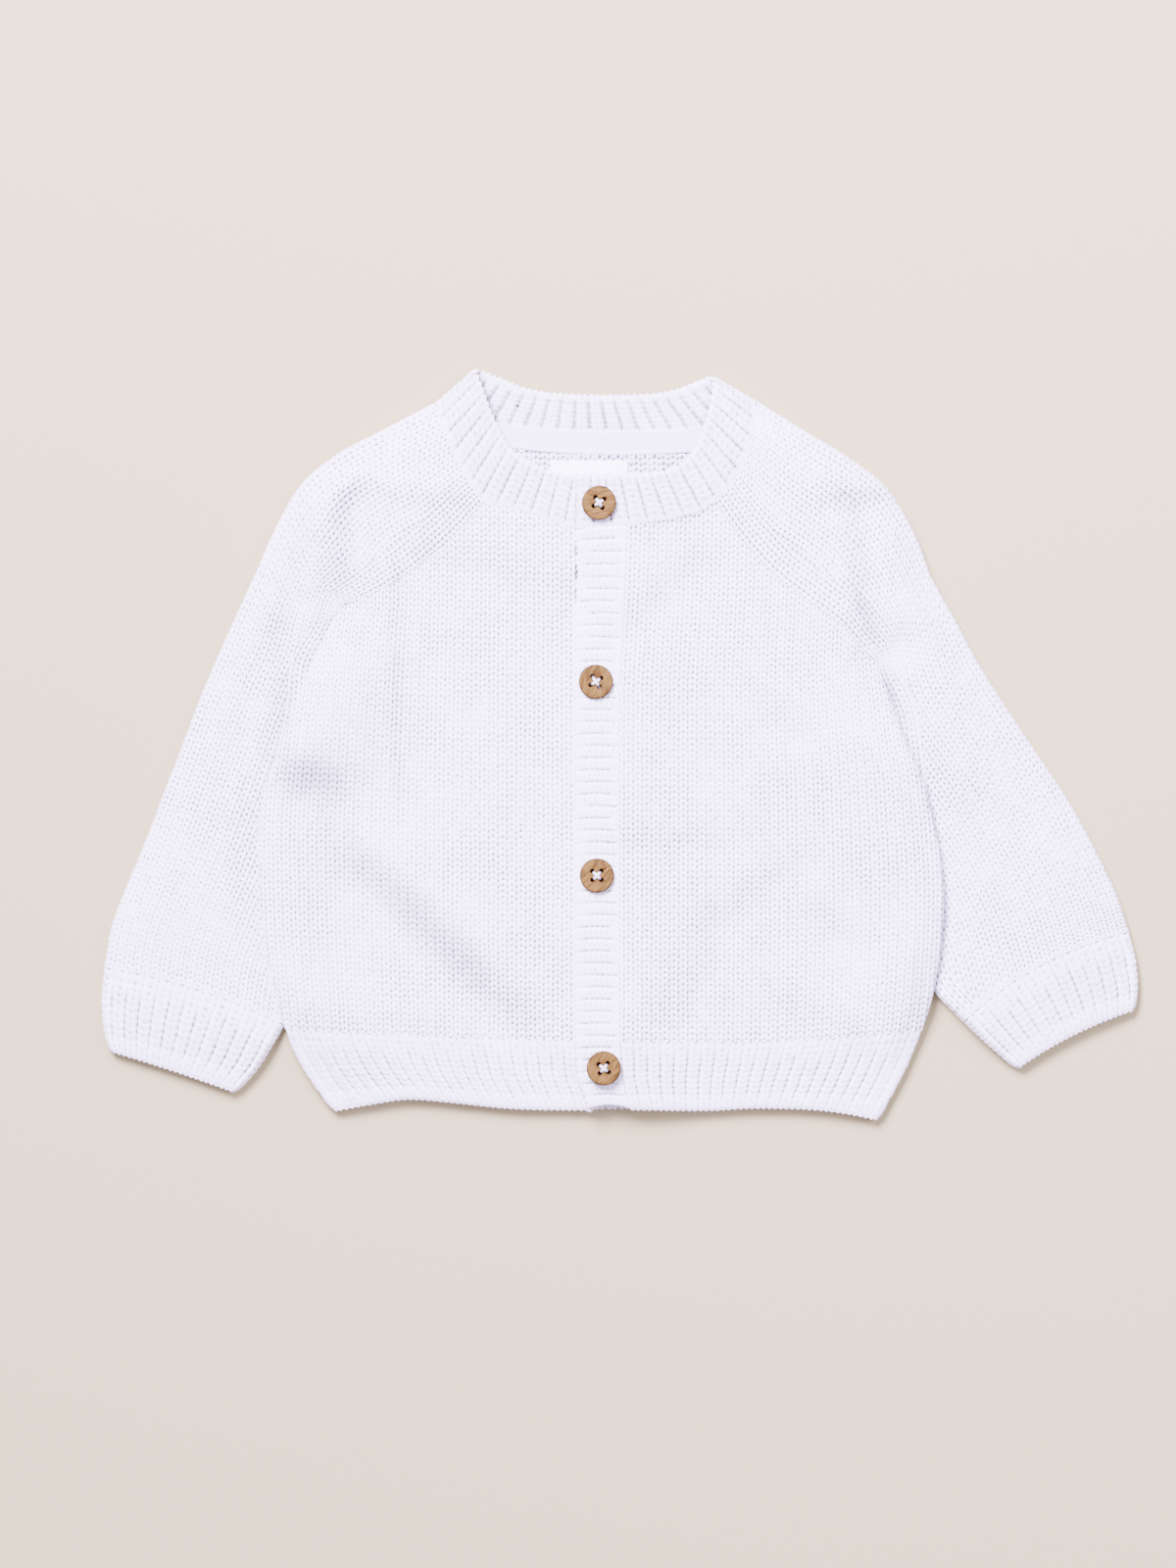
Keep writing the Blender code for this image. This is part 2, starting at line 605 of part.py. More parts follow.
def tube(name, sections, upper_shares, ribs, side, neck_curve=None):
    """A flattened sleeve or cuff through its sections."""
    middles, normals = [], []
    for k, (outer, front, back, bow, bend) in enumerate(sections):
        pull = max(0.0, 1 - k / 3)
        middle, normal = sleeve_section(outer, front, back, bow, bend, upper_shares, side, neck_curve, pull)
        middles.append(middle)
        normals.append(normal)
    middles, normals = np.array(middles), np.array(normals)
    for end, next_to, gap in ((0, 1, SEAM), (-1, -2, SEAM / 2)):
        way = middles[next_to] - middles[end]
        way[:, 2] = 0.0
        middles[end] += way / np.linalg.norm(way, axis=1)[:, None] * gap
    raised = np.zeros(middles.shape[1])
    start = SEAM_ARC - 1
    raised[start:start + len(ribs)] = ribs[::-1]
    outer = middles + normals * (WALL / 2 + raised[None, :, None])
    inner = middles - normals * WALL / 2
    wall(name, outer, inner)


def pulled_in(point, towards, gap):
    way = np.asarray(towards, float) - point
    return point + way / np.linalg.norm(way) * gap


def make_sleeve(side):
    data = SIDES[side]
    shoulder = [np.array(p) for p in data["shoulder"]]
    shares = np.linspace(1, 0, len(shoulder))
    front_seam = at(curve(data["raglan_front"]), shares)
    back_seam = at(curve(data["raglan_back"]), shares)
    sections = []
    for outer, front, back in zip(shoulder, front_seam, back_seam):
        sections.append((outer, pulled_in(front, outer, SEAM), pulled_in(back, outer, SEAM), 0.0, 0.0))
    for k, (ox, oy, ix, iy, bow) in enumerate(data["arm"]):
        inner = np.array([ix, iy])
        sections.append((np.array([ox, oy]), inner, inner, bow, min(1.0, 0.5 + 0.5 * k)))
    tube(f"sleeve_{side}", sections, np.linspace(0, 1, 8), np.zeros(8), side,
         curve(data["neck_sleeve"])[::-1])


def make_cuff(side):
    rows = SIDES[side]["cuff"]
    sections = [(np.array([ox, oy]), np.array([ix, iy]), np.array([ix, iy]), bow, 1.0)
                for ox, oy, ix, iy, bow in rows]
    shares, ribs = rib_profile(CUFF_RIBS)
    tube(f"cuff_{side}", sections, shares, ribs, side)


# Neckband: one strip from the lower end at the bands, round the back, to the upper end

NECK_ROWS = np.array([0.0, 0.5, 1.0])  # seam edge to free edge
NECK_ARC = 3


def fold_frame(side):
    """The shoulder fold of the neckband at each row, and the way out of the garment there."""
    seam, free = SHOULDER_FOLD[side]
    line = seam + NECK_ROWS[:, None] * (free - seam)
    out = np.array([free[1] - seam[1], seam[0] - free[0]])
    out = out / np.linalg.norm(out)
    return line, out if out[1] > 0 else -out


def strip_rows(seam, free, shares):
    """Plan points of a strip between two lines, rows across it by columns along it."""
    start, end = at(seam, shares), at(free, shares)
    return start[None] + NECK_ROWS[:, None, None] * (end - start)[None]


def front_strip(side):
    """One front part of the neckband, from its end at the bands to the shoulder fold."""
    data = SIDES[side]
    line, out = fold_frame(side)
    end_x = NECK_LOWER_END if side == "right" else band_edges(BAND_TOP)[0]
    first = data["neck_front"][0]
    seam = joined(curve([(end_x, BAND_TOP + SEAM), first]), curve(data["neck_front"]),
                  curve(data["neck_sleeve"]))
    free = curve([(end_x, data["neck_free"][0][1])] + data["neck_free"][0 if side == "right" else 1:])
    seam[-1] = line[0] - out * FOLD_REACH
    free[-1] = line[-1] - out * FOLD_REACH
    shares, ribs = rib_profile(NECK_RIBS[side])
    plan = strip_rows(seam, free, shares)
    x, y = plan[..., 0], plan[..., 1]
    level = upper_level(x, y) + WALL / 2
    if side == "left":
        level = level + step(x, y)
    return plan, level, ribs, out


def make_neckband():
    middles, normals, over, under = [], [], [], []

    def add(place, height, normal, rib_over, rib_under):
        middles.append(np.concatenate([place, height[:, None]], axis=-1))
        normals.append(np.tile(normal, (len(NECK_ROWS), 1)))
        over.append(rib_over)
        under.append(rib_under)

    def turn(place, level, out, angles):
        """Columns round a shoulder fold, beyond the last flat column."""
        for angle in angles:
            height = FOLD_MIDDLE + (level - FOLD_MIDDLE) * abs(math.sin(angle))
            spot = place + out * FOLD_RADIUS * math.cos(angle)
            normal = np.array([*(out * math.cos(angle)), math.sin(angle)])
            add(spot, height, normal, RIB / 2 * (angle > -0.1), 0.0)

    quarter = [math.pi / 2 * k / NECK_ARC for k in range(NECK_ARC)]
    plan, level, ribs, out = front_strip("right")
    for j in range(plan.shape[1]):
        add(plan[:, j], level[:, j], np.array([0, 0, 1.0]), ribs[j], 0.0)
    turn(plan[:, -1], level[:, -1], out, quarter[::-1])

    seam, free = curve(NECK_BACK_SEAM), curve(NECK_BACK_FREE)
    for side, end in (("right", 0), ("left", -1)):
        line, way = fold_frame(side)
        seam[end] = line[0] - way * FOLD_REACH
        free[end] = line[-1] - way * FOLD_REACH
    shares, back_ribs = rib_profile(NECK_RIBS["back"])
    back = strip_rows(seam, free, shares)
    flat = np.full(len(NECK_ROWS), WALL / 2)
    turn(back[:, 0], flat, fold_frame("right")[1], [-angle for angle in quarter[1:]])
    for j in range(back.shape[1]):
        add(back[:, j], flat, np.array([0, 0, -1.0]), 0.0, back_ribs[j])
    left_plan, left_level, left_ribs, left_out = front_strip("left")
    turn(back[:, -1], flat, left_out, [-angle for angle in quarter[:0:-1]])
    turn(left_plan[:, -1], left_level[:, -1], left_out, quarter)
    for j in reversed(range(left_plan.shape[1])):
        add(left_plan[:, j], left_level[:, j], np.array([0, 0, 1.0]), left_ribs[j], 0.0)

    middles = np.array(middles).transpose(1, 0, 2)
    normals = np.array(normals).transpose(1, 0, 2)
    outer = middles + normals * (WALL / 2 + np.array(over)[None, :, None])
    inner = middles - normals * (WALL / 2 + np.array(under)[None, :, None])
    wall("neckband", outer, inner)


# Bands, tape and label

def make_buttonhole_band():
    shares, ribs = rib_profile(BAND_RIBS)
    y = BAND_TOP + shares * (BAND_BOTTOM - BAND_TOP)
    x = np.stack(band_edges(y), axis=1)
    y = np.stack([y, y], axis=1)
    low = upper_level(x, y) + STEP
    layer("buttonhole_band", np.stack([x, y], -1), low, low + WALL + ribs[:, None])


def make_button_band():
    shares, ribs = rib_profile(BAND_RIBS, corners=2)
    y = BAND_TOP + shares * (BAND_BOTTOM - BAND_TOP)
    corner = BAND_CORNER * smooth((shares - 1 + BAND_CORNER_RUN) / BAND_CORNER_RUN)
    y = np.stack([y - corner, y], axis=1)
    x = np.stack([band_edges(y[:, 0])[0] + SEAM, band_edges(y[:, 1])[1] - BAND_UNDERLAP], axis=1)
    low = upper_level(x, y)
    layer("button_band", np.stack([x, y], -1), low, low + WALL + ribs[:, None])


def make_neck_tape():
    line = curve(NECK_BACK_SEAM)
    x = np.linspace(*TAPE_ENDS, 13)
    top = np.interp(x, line[:, 0], line[:, 1]) - NECK_SEAM
    plan = np.stack([np.stack([x, top], -1), np.stack([x, top - TAPE_WIDTH], -1)])
    low = np.full(plan.shape[:2], WALL + SEAM)
    layer("neck_tape", plan, low, low + TRIM, "tape")


def make_label():
    x = np.linspace(*LABEL_X, 2)
    y = np.array(LABEL_Y)
    plan = np.stack(np.meshgrid(x, y), axis=-1)
    low = np.full(plan.shape[:2], WALL + SEAM)
    layer("label", plan, low, low + TRIM, "label")


# Buttons

def turned(name, profile, steps):
    """A solid turned round Z from (radius, height) rows that run down its outer side."""
    mesh = bpy.data.meshes.new(name)
    points = [(r * MM, 0.0, z * MM) for r, z in profile]
    mesh.from_pydata(points, [(k, k + 1) for k in range(len(points) - 1)], [])
    solid = added(name, mesh, "wood")
    screw = solid.modifiers.new("turn", "SCREW")
    screw.steps = steps
    screw.render_steps = steps
    screw.use_merge_vertices = True
    screw.merge_threshold = 0.00001
    screw.use_smooth_shade = True
    return solid


def make_button(name, x, y, turn):
    t, r, edge = BUTTON_THICK, BUTTON_RADIUS, BUTTON_EDGE
    profile = [
        # radius, height
        (0.0, t - BUTTON_DISH),
        (BUTTON_DISH_RADIUS - edge, t - BUTTON_DISH),
        (BUTTON_DISH_RADIUS, t),
        (r - edge, t),
        (r - edge / 4, t - edge / 3),
        (r, t - edge),
        (r - edge / 3, edge / 2),
        (r - edge, 0.0),
        (0.0, 0.0),
    ]
    button = turned(name, profile, 20)
    angles = np.linspace(0, 2 * math.pi, 16, endpoint=False)
    ring_x = np.append(x + r * np.cos(angles), x)
    ring_y = np.append(y + r * np.sin(angles), y)
    seat = float((upper_level(ring_x, ring_y) + step(ring_x, ring_y)).max()) + WALL + RIB
    place = (x * MM, y * MM, (seat + SEAM) * MM)
    button.location = place
    button.rotation_euler = (0, 0, math.radians(turn))
    bpy.ops.mesh.primitive_cylinder_add(vertices=8, radius=BUTTON_HOLE * MM, depth=4 * t * MM)
    cutter = bpy.context.active_object
    cutter.name = f"{name}_holes"
    for other in cutter.users_collection:
        other.objects.unlink(cutter)
    cutters.objects.link(cutter)
    cutter.parent = button
    cutter.location = (-BUTTON_HOLE_PITCH * MM, -BUTTON_HOLE_PITCH * MM, 0)
    cutter.hide_render = True
    cutter.display_type = "WIRE"
    for axis in range(2):
        copies = cutter.modifiers.new("pair", "ARRAY")
        copies.count = 2
        copies.use_relative_offset = False
        copies.use_constant_offset = True
        copies.constant_offset_displace = [2 * BUTTON_HOLE_PITCH * MM if k == axis else 0 for k in range(3)]
        copies.merge_threshold = 0.00001
    cut = button.modifiers.new("holes", "BOOLEAN")
    cut.operation = "DIFFERENCE"
    cut.solver = "EXACT"
    cut.object = cutter


for thing in list(bpy.data.objects):
    bpy.data.objects.remove(thing)
collection = bpy.data.collections.new("baby_cardigan")
cutters = bpy.data.collections.new("cutters")
for group in (collection, cutters):
    bpy.context.scene.collection.children.link(group)

make_back()
make_hem_back()
for side_name in SIDES:
    make_front(side_name)
    make_hem_front(side_name)
    make_sleeve(side_name)
    make_cuff(side_name)
make_neckband()
make_button_band()
make_buttonhole_band()
make_neck_tape()
make_label()
for row in BUTTONS:
    make_button(*row)
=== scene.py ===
import math

import bmesh
import bpy
import numpy as np
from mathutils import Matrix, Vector


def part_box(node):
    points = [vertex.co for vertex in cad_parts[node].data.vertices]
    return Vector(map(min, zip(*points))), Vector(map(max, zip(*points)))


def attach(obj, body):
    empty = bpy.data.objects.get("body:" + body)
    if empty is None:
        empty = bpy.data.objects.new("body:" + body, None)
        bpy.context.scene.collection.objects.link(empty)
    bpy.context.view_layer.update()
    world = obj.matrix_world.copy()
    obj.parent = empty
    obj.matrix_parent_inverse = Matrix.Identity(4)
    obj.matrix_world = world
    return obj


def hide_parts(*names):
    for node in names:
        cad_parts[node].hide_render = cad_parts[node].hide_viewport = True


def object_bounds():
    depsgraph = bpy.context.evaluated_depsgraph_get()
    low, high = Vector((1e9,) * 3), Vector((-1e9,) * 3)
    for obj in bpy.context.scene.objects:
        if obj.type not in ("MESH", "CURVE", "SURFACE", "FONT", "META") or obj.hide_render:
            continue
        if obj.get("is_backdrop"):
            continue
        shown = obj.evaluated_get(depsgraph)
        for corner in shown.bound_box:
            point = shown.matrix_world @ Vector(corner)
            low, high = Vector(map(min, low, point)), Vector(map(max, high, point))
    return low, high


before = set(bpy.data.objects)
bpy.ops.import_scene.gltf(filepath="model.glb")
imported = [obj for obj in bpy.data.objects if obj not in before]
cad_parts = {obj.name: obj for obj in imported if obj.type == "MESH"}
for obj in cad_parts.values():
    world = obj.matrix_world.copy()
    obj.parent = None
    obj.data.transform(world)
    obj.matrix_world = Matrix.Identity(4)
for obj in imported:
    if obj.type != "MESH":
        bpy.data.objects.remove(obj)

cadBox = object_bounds()
mm = 0.001  # every size below is in millimetres
rng = np.random.default_rng(24)
samePoint = 0.004  # corners nearer than this are joined
mostShade = 2.2
uvStep = 0.1  # in the mesh's coordinates, for a wale, a course or a millimetre

# the cloth, the same all over the garment
cloth = {
    "thickness": 2.2,
    "layerGap": 0.4,  # between the two layers where they lie flat
    "foldRadius": 2.4,  # outside of a fold round which both layers turn
    "wale": 3.5,  # width of a column of stitches
    "course": 2.3,  # height of a row of stitches
    "rib": 0.25,  # how far a rib stands above the plain knit
    "reliefVaries": 0.3,  # from stitch to stitch
    "sinkVaries": 0.1,
    "shadeVaries": 0.6,
    "slowMottle": 0.3,  # of the shade, over several stitches
    "quickMottle": 0.2,
    "quickSize": 7.0,
    "seamFade": 2.0,  # the relief is flatter this near a seam
}

# one stitch of plain knit: two slanted legs with a hole between them
# columns are shares of the wale, rows are shares of the course, from the gap to the crown
plainKnit = {
    "columns": [0.0, 0.16, 0.34, 0.5, 0.66, 0.84],
    "rows": [0.0, 0.34, 0.66],
    "slant": 0.84,  # courses that a leg drops from its outside to the middle
    "drift": 0.16,  # courses that a wale may start early or late
    "relief": [
        [-0.26, -0.12, -0.20, -1.30, -0.20, -0.12],
        [-0.34, -0.02, 0.00, -0.40, 0.00, -0.02],
        [-1.25, -0.16, 0.04, -0.12, 0.04, -0.16],
    ],
    # painted shade in the hole and in the gaps between the legs
    "shade": [
        [0.14, 0.02, 0.14, 1.66, 0.14, 0.02],
        [0.26, 0.00, 0.00, 0.30, 0.00, 0.00],
        [1.58, 0.12, 0.00, 0.02, 0.00, 0.12],
    ],
}

# the same with fewer corners, for the underside
underKnit = {
    "columns": [0.0, 0.25, 0.5, 0.75],
    "rows": [0.0, 0.5],
    "slant": 1.0,
    "relief": [[-0.30, -0.20, -1.15, -0.20], [-1.10, -0.06, -0.30, -0.06]],
    "shade": [[0.12, 0.04, 1.50, 0.04], [1.40, 0.04, 0.24, 0.04]],
}

# the inside of the plain knit, with its short bars
purlKnit = {
    "columns": [0.0, 0.25, 0.5, 0.75],
    "rows": [0.0, 0.5],
    "slant": 0.35,
    "relief": [[-1.20, -0.55, -1.10, -0.55], [-0.25, 0.05, -0.20, 0.05]],
    "shade": [[1.50, 0.40, 1.30, 0.40], [0.12, 0.00, 0.10, 0.00]],
}

# one rib: a raised column of knit stitches and the groove beside it
ribKnit = {
    "columns": [0.0, 0.09, 0.28, 0.5, 0.72, 0.91],
    "rows": [0.0, 0.36, 0.68],
    "slant": 0.38,
    "relief": [
        [-1.35, -0.66, -0.34, -0.66, -0.34, -0.66],
        [-1.20, -0.30, 0.00, -0.30, 0.00, -0.30],
        [-1.10, -0.22, 0.06, -0.16, 0.06, -0.22],
    ],
    # painted shade in the groove and in the stitches' holes
    "shade": [
        [1.40, 0.22, 0.08, 0.60, 0.08, 0.22],
        [0.80, 0.04, 0.00, 0.14, 0.00, 0.04],
        [0.55, 0.02, 0.00, 0.02, 0.00, 0.02],
    ],
}

# outlines of each side, in order from the first place named to the second
outlines = {
    "right": {
        "sign": -1.0,
        "side": [(-106.1, 53.2), (-111.8, 45), (-116.6, 35.6), (-121.9, 22.5), (-130.5, 0),
                 (-136.1, -16.9), (-138.9, -33.8), (-138.2, -52.5), (-136.9, -71.2),
                 (-133.1, -90), (-128.6, -108.8)],  # underarm to the hem rib
        "hemSide": [(-128.6, -108.8), (-125.6, -117), (-119.6, -128), (-110.6, -140.2)],
        "raglanFront": [(-106.1, 53.2), (-96.4, 57), (-87.4, 61.5), (-77.2, 68.5),
                        (-65, 79), (-52.1, 92.6)],  # underarm to the neckband
        "raglanBack": [(-106.1, 53.2), (-92, 74), (-76, 98), (-58.5, 125.4)],
        "neckFront": [(-17.4, 82.6), (-27, 86), (-38, 89.6), (-46.9, 91.9), (-52.1, 92.6)],
        "neckSleeve": [(-52.1, 92.6), (-57.4, 99.8), (-63.2, 110.2), (-67.8, 121.5),
                       (-71.2, 131.2)],  # over the sleeve to the shoulder fold
        "neckFree": [(-17.4, 102.6), (-27.4, 104.8), (-37.5, 109.4), (-43, 114.5),
                     (-49.1, 126), (-52.9, 136.1), (-55.9, 144.4)],
        "hemTop": [(-128.6, -108.8), (-72.4, -111.4), (-17.6, -113.2)],
        "hemEdge": [(-110.6, -140.2), (-95.2, -137.4), (-80.6, -135.6), (-60.4, -137.2),
                    (-40.9, -139.1), (-13, -139.6)],
        "notch": -110,  # where the sleeve comes out from under the body
        "shoulder": [(-72.4, 128.9), (-91.1, 120.8), (-108, 111.8), (-121.9, 100.5),
                     (-131.6, 84.4), (-139.1, 67.5)],  # outer fold, neckband to underarm
    },
    "left": {
        "sign": 1.0,
        "side": [(97.5, 31.9), (100.1, 26.2), (105, 13.9), (109.5, 1.1), (115.1, -11.2),
                 (119.6, -28.1), (122.8, -45), (123.8, -60), (122.8, -75),
                 (120, -94.9), (115.9, -109.5)],
        "hemSide": [(115.9, -109.5), (113.6, -115.5), (108.5, -127), (99.4, -143.6)],
        "raglanFront": [(97.5, 31.9), (91, 38.5), (84, 46), (71.2, 55.5), (57.8, 66),
                        (46, 79), (36.2, 93)],
        "raglanBack": [(97.5, 31.9), (82, 60), (62, 94), (41.8, 124.8)],
        "neckFront": [(2.6, 84), (13.9, 85.5), (24, 87.4), (31.5, 90), (36.2, 93)],
        "neckSleeve": [(36.2, 93), (42.8, 100.1), (47, 107.5), (50.6, 119), (52.6, 131.8)],
        "neckFree": [(-17.2, 102.8), (2.6, 103.2), (13.9, 103.9), (22.5, 106.9), (28.9, 113.5),
                     (33, 124.5), (35.3, 134), (35.6, 141.6)],
        "hemTop": [(115.9, -109.5), (58.9, -113.6), (0.1, -113.6)],
        "hemEdge": [(99.4, -143.6), (87, -141), (72, -139.3), (50, -138.9),
                    (32.6, -139.7), (3.9, -139.2)],
        "notch": -96,
        "shoulder": [(54.2, 129.4), (70.1, 120.8), (87.4, 110.3), (102.4, 98.3), (112.1, 82.5),
                     (119.6, 63.8)],
    },
}

# sections of the arms and then of the cuffs: outer fold x, y, inner edge x, y, and how far
# the course bows to the cuff
sections = {
    "right": [
        (-146.3, 51.8, -112.1, 45, 0), (-153.4, 36, -118.9, 31.1, 0), (-160.5, 19.5, -120, 14.3, 0),
        (-167.6, 0.8, -123, -3.8, 0), (-175.5, -19.5, -129.8, -29.3, 0),
        (-182.3, -37.5, -129.2, -50.6, 0), (-189.4, -54.4, -127.9, -71.3, -1),
        (-195, -69.4, -126.2, -91.1, -2), (-197.8, -85.1, -128.3, -107.3, -3),
        (-198.8, -97, -133.1, -115.5, -2), (-198.2, -108, -139.1, -124.9, -1),
        (-195.8, -117, -147, -133.1, -0.5),
    ],
    "left": [
        (128.3, 48, 101, 25.5, 0), (137.6, 30.8, 106.9, 10.1, 0), (148.1, 14.3, 108.6, -7.5, 0),
        (160.1, -3.8, 110.1, -25.5, 0), (171.4, -20.6, 113.6, -43.1, 0),
        (181.9, -39.8, 114.8, -60.8, -1), (189.4, -55.5, 114.8, -78, -2),
        (192.6, -64, 119.2, -93, -3.5), (195, -71.4, 131, -106.1, -5),
        (197.6, -82.5, 137.6, -112.5, -4), (198.4, -93, 144.8, -118.9, -3),
        (197.2, -101.2, 151.5, -124.1, -2),
    ],
}
armRows = 9  # the last of them is the first of the cuff

# creases: from x, y, to x, y, half width, height of the ridge or depth of the trough
creases = [
    (-98, -54, -50, -104, 8, -2.3),  # sweep down to the band
    (-90, -42, -42, -90, 8, 2.3),
    (-74, -32, -28, -76, 14, 0.8),
    (-124, -13, -110, -18, 9, -1.8),  # hollow at the right side
    (-100, 22, -98, -2, 8, 0.8),
    (-84, 58, -83, -18, 3.4, -1.6),
    (-55, 45, -40, -15, 22, 1.2),  # chest
    (-112, -60, -108, -95, 10, -0.8),
    (-110, -100, -60, -104, 8, 1),
    (-72, 72, -22, 58, 8, -0.9),
    (-34, -118, -24, -134, 8, -1.2),
    (5, 45, 27, 65, 7, -1),  # left front
    (35, 40, 60, -5, 24, 1.2),
    (57, 12, 65, 6, 6, -0.9),
    (5, -40, 39, -38, 6, -0.9),
    (39, -67, 69, -46, 8, -1.2),
    (76, -67, 82, -72, 7, -1.1),
    (23, -104, 35, -80, 6.5, -0.8),
    (5, -103, 24, -64, 8, 0.7),
    (100, -30, 98, -75, 12, -0.9),
    (65, -92, 88, -104, 9, 1.3),
    (-58, 108, -22, 92, 12, 0.9),  # neckline
    (14, 92, 44, 112, 12, 0.9),
    (-70, 98, -104, 101, 6.5, 2),  # right sleeve
    (-106, 99, -115, 86, 5.5, 2.3),
    (-115, 86, -113, 62, 5.5, 2.3),
    (-104, 80, -105, 66, 3.8, -1.8),
    (-124, 76, -128, 44, 6, -1.3),
    (-136, 30, -143, 0, 6, -1.3),
    (-160, -25, -168, -66, 15, 1),
    (92, 93, 103, 95, 5, -2.6),  # left sleeve
    (89, 84, 96, 38, 3.8, -2.2),
    (103, 72, 131, -8, 9.5, 2.3),
    (151, -2, 162, -28, 8, -0.9),
    (165, -44, 172, -76, 14, 1),
]

# painted shade where little light reaches into a tight fold: from x, y, to x, y, half width, strength
paintedFoldShade = [
    (-97, -47, -52, -92, 8.5, 0.13),
    (-86, -58, -58, -86, 9, 0.15),
    (-120, -14.5, -114, -16, 8.5, 0.45),
    (-109, -26, -103, -38, 6, 0.09),
    (-85, 58, -83, -15, 3.6, 0.15),
    (-132, 41, -128, -18, 5, 0.15),
    (-124, 80, -128, 50, 4.5, 0.12),
    (-103.5, 81, -105.5, 62, 3.6, 0.22),
    (-73, 72, -24, 58, 8, 0.09),
    (-38, -124, -22, -128, 8, 0.12),
    (90, 84, 92.5, 62, 3.4, 0.24),
    (94.5, 48, 103, 22, 3.2, 0.24),
    (106, 13, 118, -22, 2.8, 0.22),
    (91, 93.5, 100, 94, 4.5, 0.22),
    (6, 46, 27, 65, 6, 0.10),
    (41, -65, 66, -48, 6, 0.12),
    (77, -68, 80, -70, 7, 0.12),
    (26, -98, 33, -83, 5, 0.10),
    (58, 11, 64, 7, 6, 0.10),
    (8, -40, 38, -39, 6, 0.07),
    (99, -38, 97, -68, 12, 0.08),
    (-104, 44, -111, 20, 7.5, 0.09),
    (87, 32, 90, 14, 8, 0.06),
]


# lines in the plan

def smoothStep(share):
    share = np.clip(share, 0.0, 1.0)
    return share * share * (3.0 - 2.0 * share)


def bell(distance, width):
    return np.exp(-((distance / width) ** 2))


def mix(first, second, share):
    return first * (1 - share) + second * share


def stack(*parts):
    return np.stack(parts, -1)


def withHeight(plan, z):
    return np.concatenate([plan, z[..., None]], -1)


def unit(ways):
    return ways / np.linalg.norm(ways, axis=-1, keepdims=True)


def curveThrough(rows, steps=8):
    rows = np.array(rows, float)
    rows = np.vstack([2 * rows[:1] - rows[1:2], rows, 2 * rows[-1:] - rows[-2:-1]])
    share = np.linspace(0, 1, steps, endpoint=False)[:, None]
    runs = []
    for a, b, c, d in zip(rows, rows[1:], rows[2:], rows[3:]):
        bend = (2 * a - 5 * b + 4 * c - d) * share**2 + (3 * b - a - 3 * c + d) * share**3
        runs.append(b + 0.5 * ((c - a) * share + bend))
    return np.vstack(runs + [rows[-2:-1]])


def joinLines(*lines):
    return np.vstack([lines[0]] + [line[1:] for line in lines[1:]])


def closeLine(line):
    return np.vstack([line, line[:1]])


def lengthsAlong(line):
    # from the start of the line to each of its points
    return np.concatenate([[0.0], np.cumsum(np.linalg.norm(np.diff(line, axis=0), axis=1))])


def lineLength(line):
    return float(lengthsAlong(line)[-1])


def pointsAt(line, shares):
    along = lengthsAlong(line)
    places = np.asarray(shares, float) * along[-1]
    return stack(*(np.interp(places, along, column) for column in line.T))


def nearestOn(line, points, batch=8000):
    # nearest place on the line and its distance, for any shape of points
    flat = points.reshape(-1, 2)
    start, step = line[:-1], np.diff(line, axis=0)
    squared = (step**2).sum(-1) + 1e-12
    nearest = np.empty_like(flat)
    for k in range(0, len(flat), batch):
        some = flat[k:k + batch, None, :]
        share = np.clip(((some - start) * step).sum(-1) / squared, 0, 1)
        feet = start + share[..., None] * step
        pick = ((some - feet) ** 2).sum(-1).argmin(-1)
        nearest[k:k + batch] = feet[np.arange(len(feet)), pick]
    nearest = nearest.reshape(points.shape)
    return nearest, np.linalg.norm(points - nearest, axis=-1)


def insideOf(outline, points):
    x, y = points[..., 0], points[..., 1]
    inside = np.zeros(x.shape, bool)
    for (x0, y0), (x1, y1) in zip(outline, np.roll(outline, -1, axis=0)):
        if y0 != y1:
            crosses = (y0 > y) != (y1 > y)
            inside ^= crosses & (x < (x1 - x0) * (y - y0) / (y1 - y0) + x0)
    return inside


def between(table, i, j, nextI, nextJ, a, b):
    # value between four places of a table
    low, high = (mix(table[row, i], table[row, nextI], a) for row in (j, nextJ))
    return mix(low, high, b)


def softNoise(x, y, size, seed, cells=64):
    # slow bumps between -1 and 1, about this far apart
    table = np.random.default_rng(seed).random((cells, cells)) * 2 - 1
    u, v = x / size + 20.3, y / size + 17.7
    i, j = np.floor(u).astype(int), np.floor(v).astype(int)
    a, b = smoothStep(u - i), smoothStep(v - j)
    return between(table, i % cells, j % cells, (i + 1) % cells, (j + 1) % cells, a, b)


curves = {side: {name: curveThrough(row) for name, row in rows.items() if isinstance(row, list)}
          for side, rows in outlines.items()}
for sideName, rows in outlines.items():
    lines = curves[sideName]
    lines["body"] = joinLines(lines["side"], lines["hemSide"])
    lines["outerFold"] = curveThrough(rows["shoulder"] + [row[:2] for row in sections[sideName]])
    lines["shoulderFold"] = np.array([rows["neckSleeve"][-1], rows["neckFree"][-1]])


# heights of the cloth over the floor, kept as maps in the plan

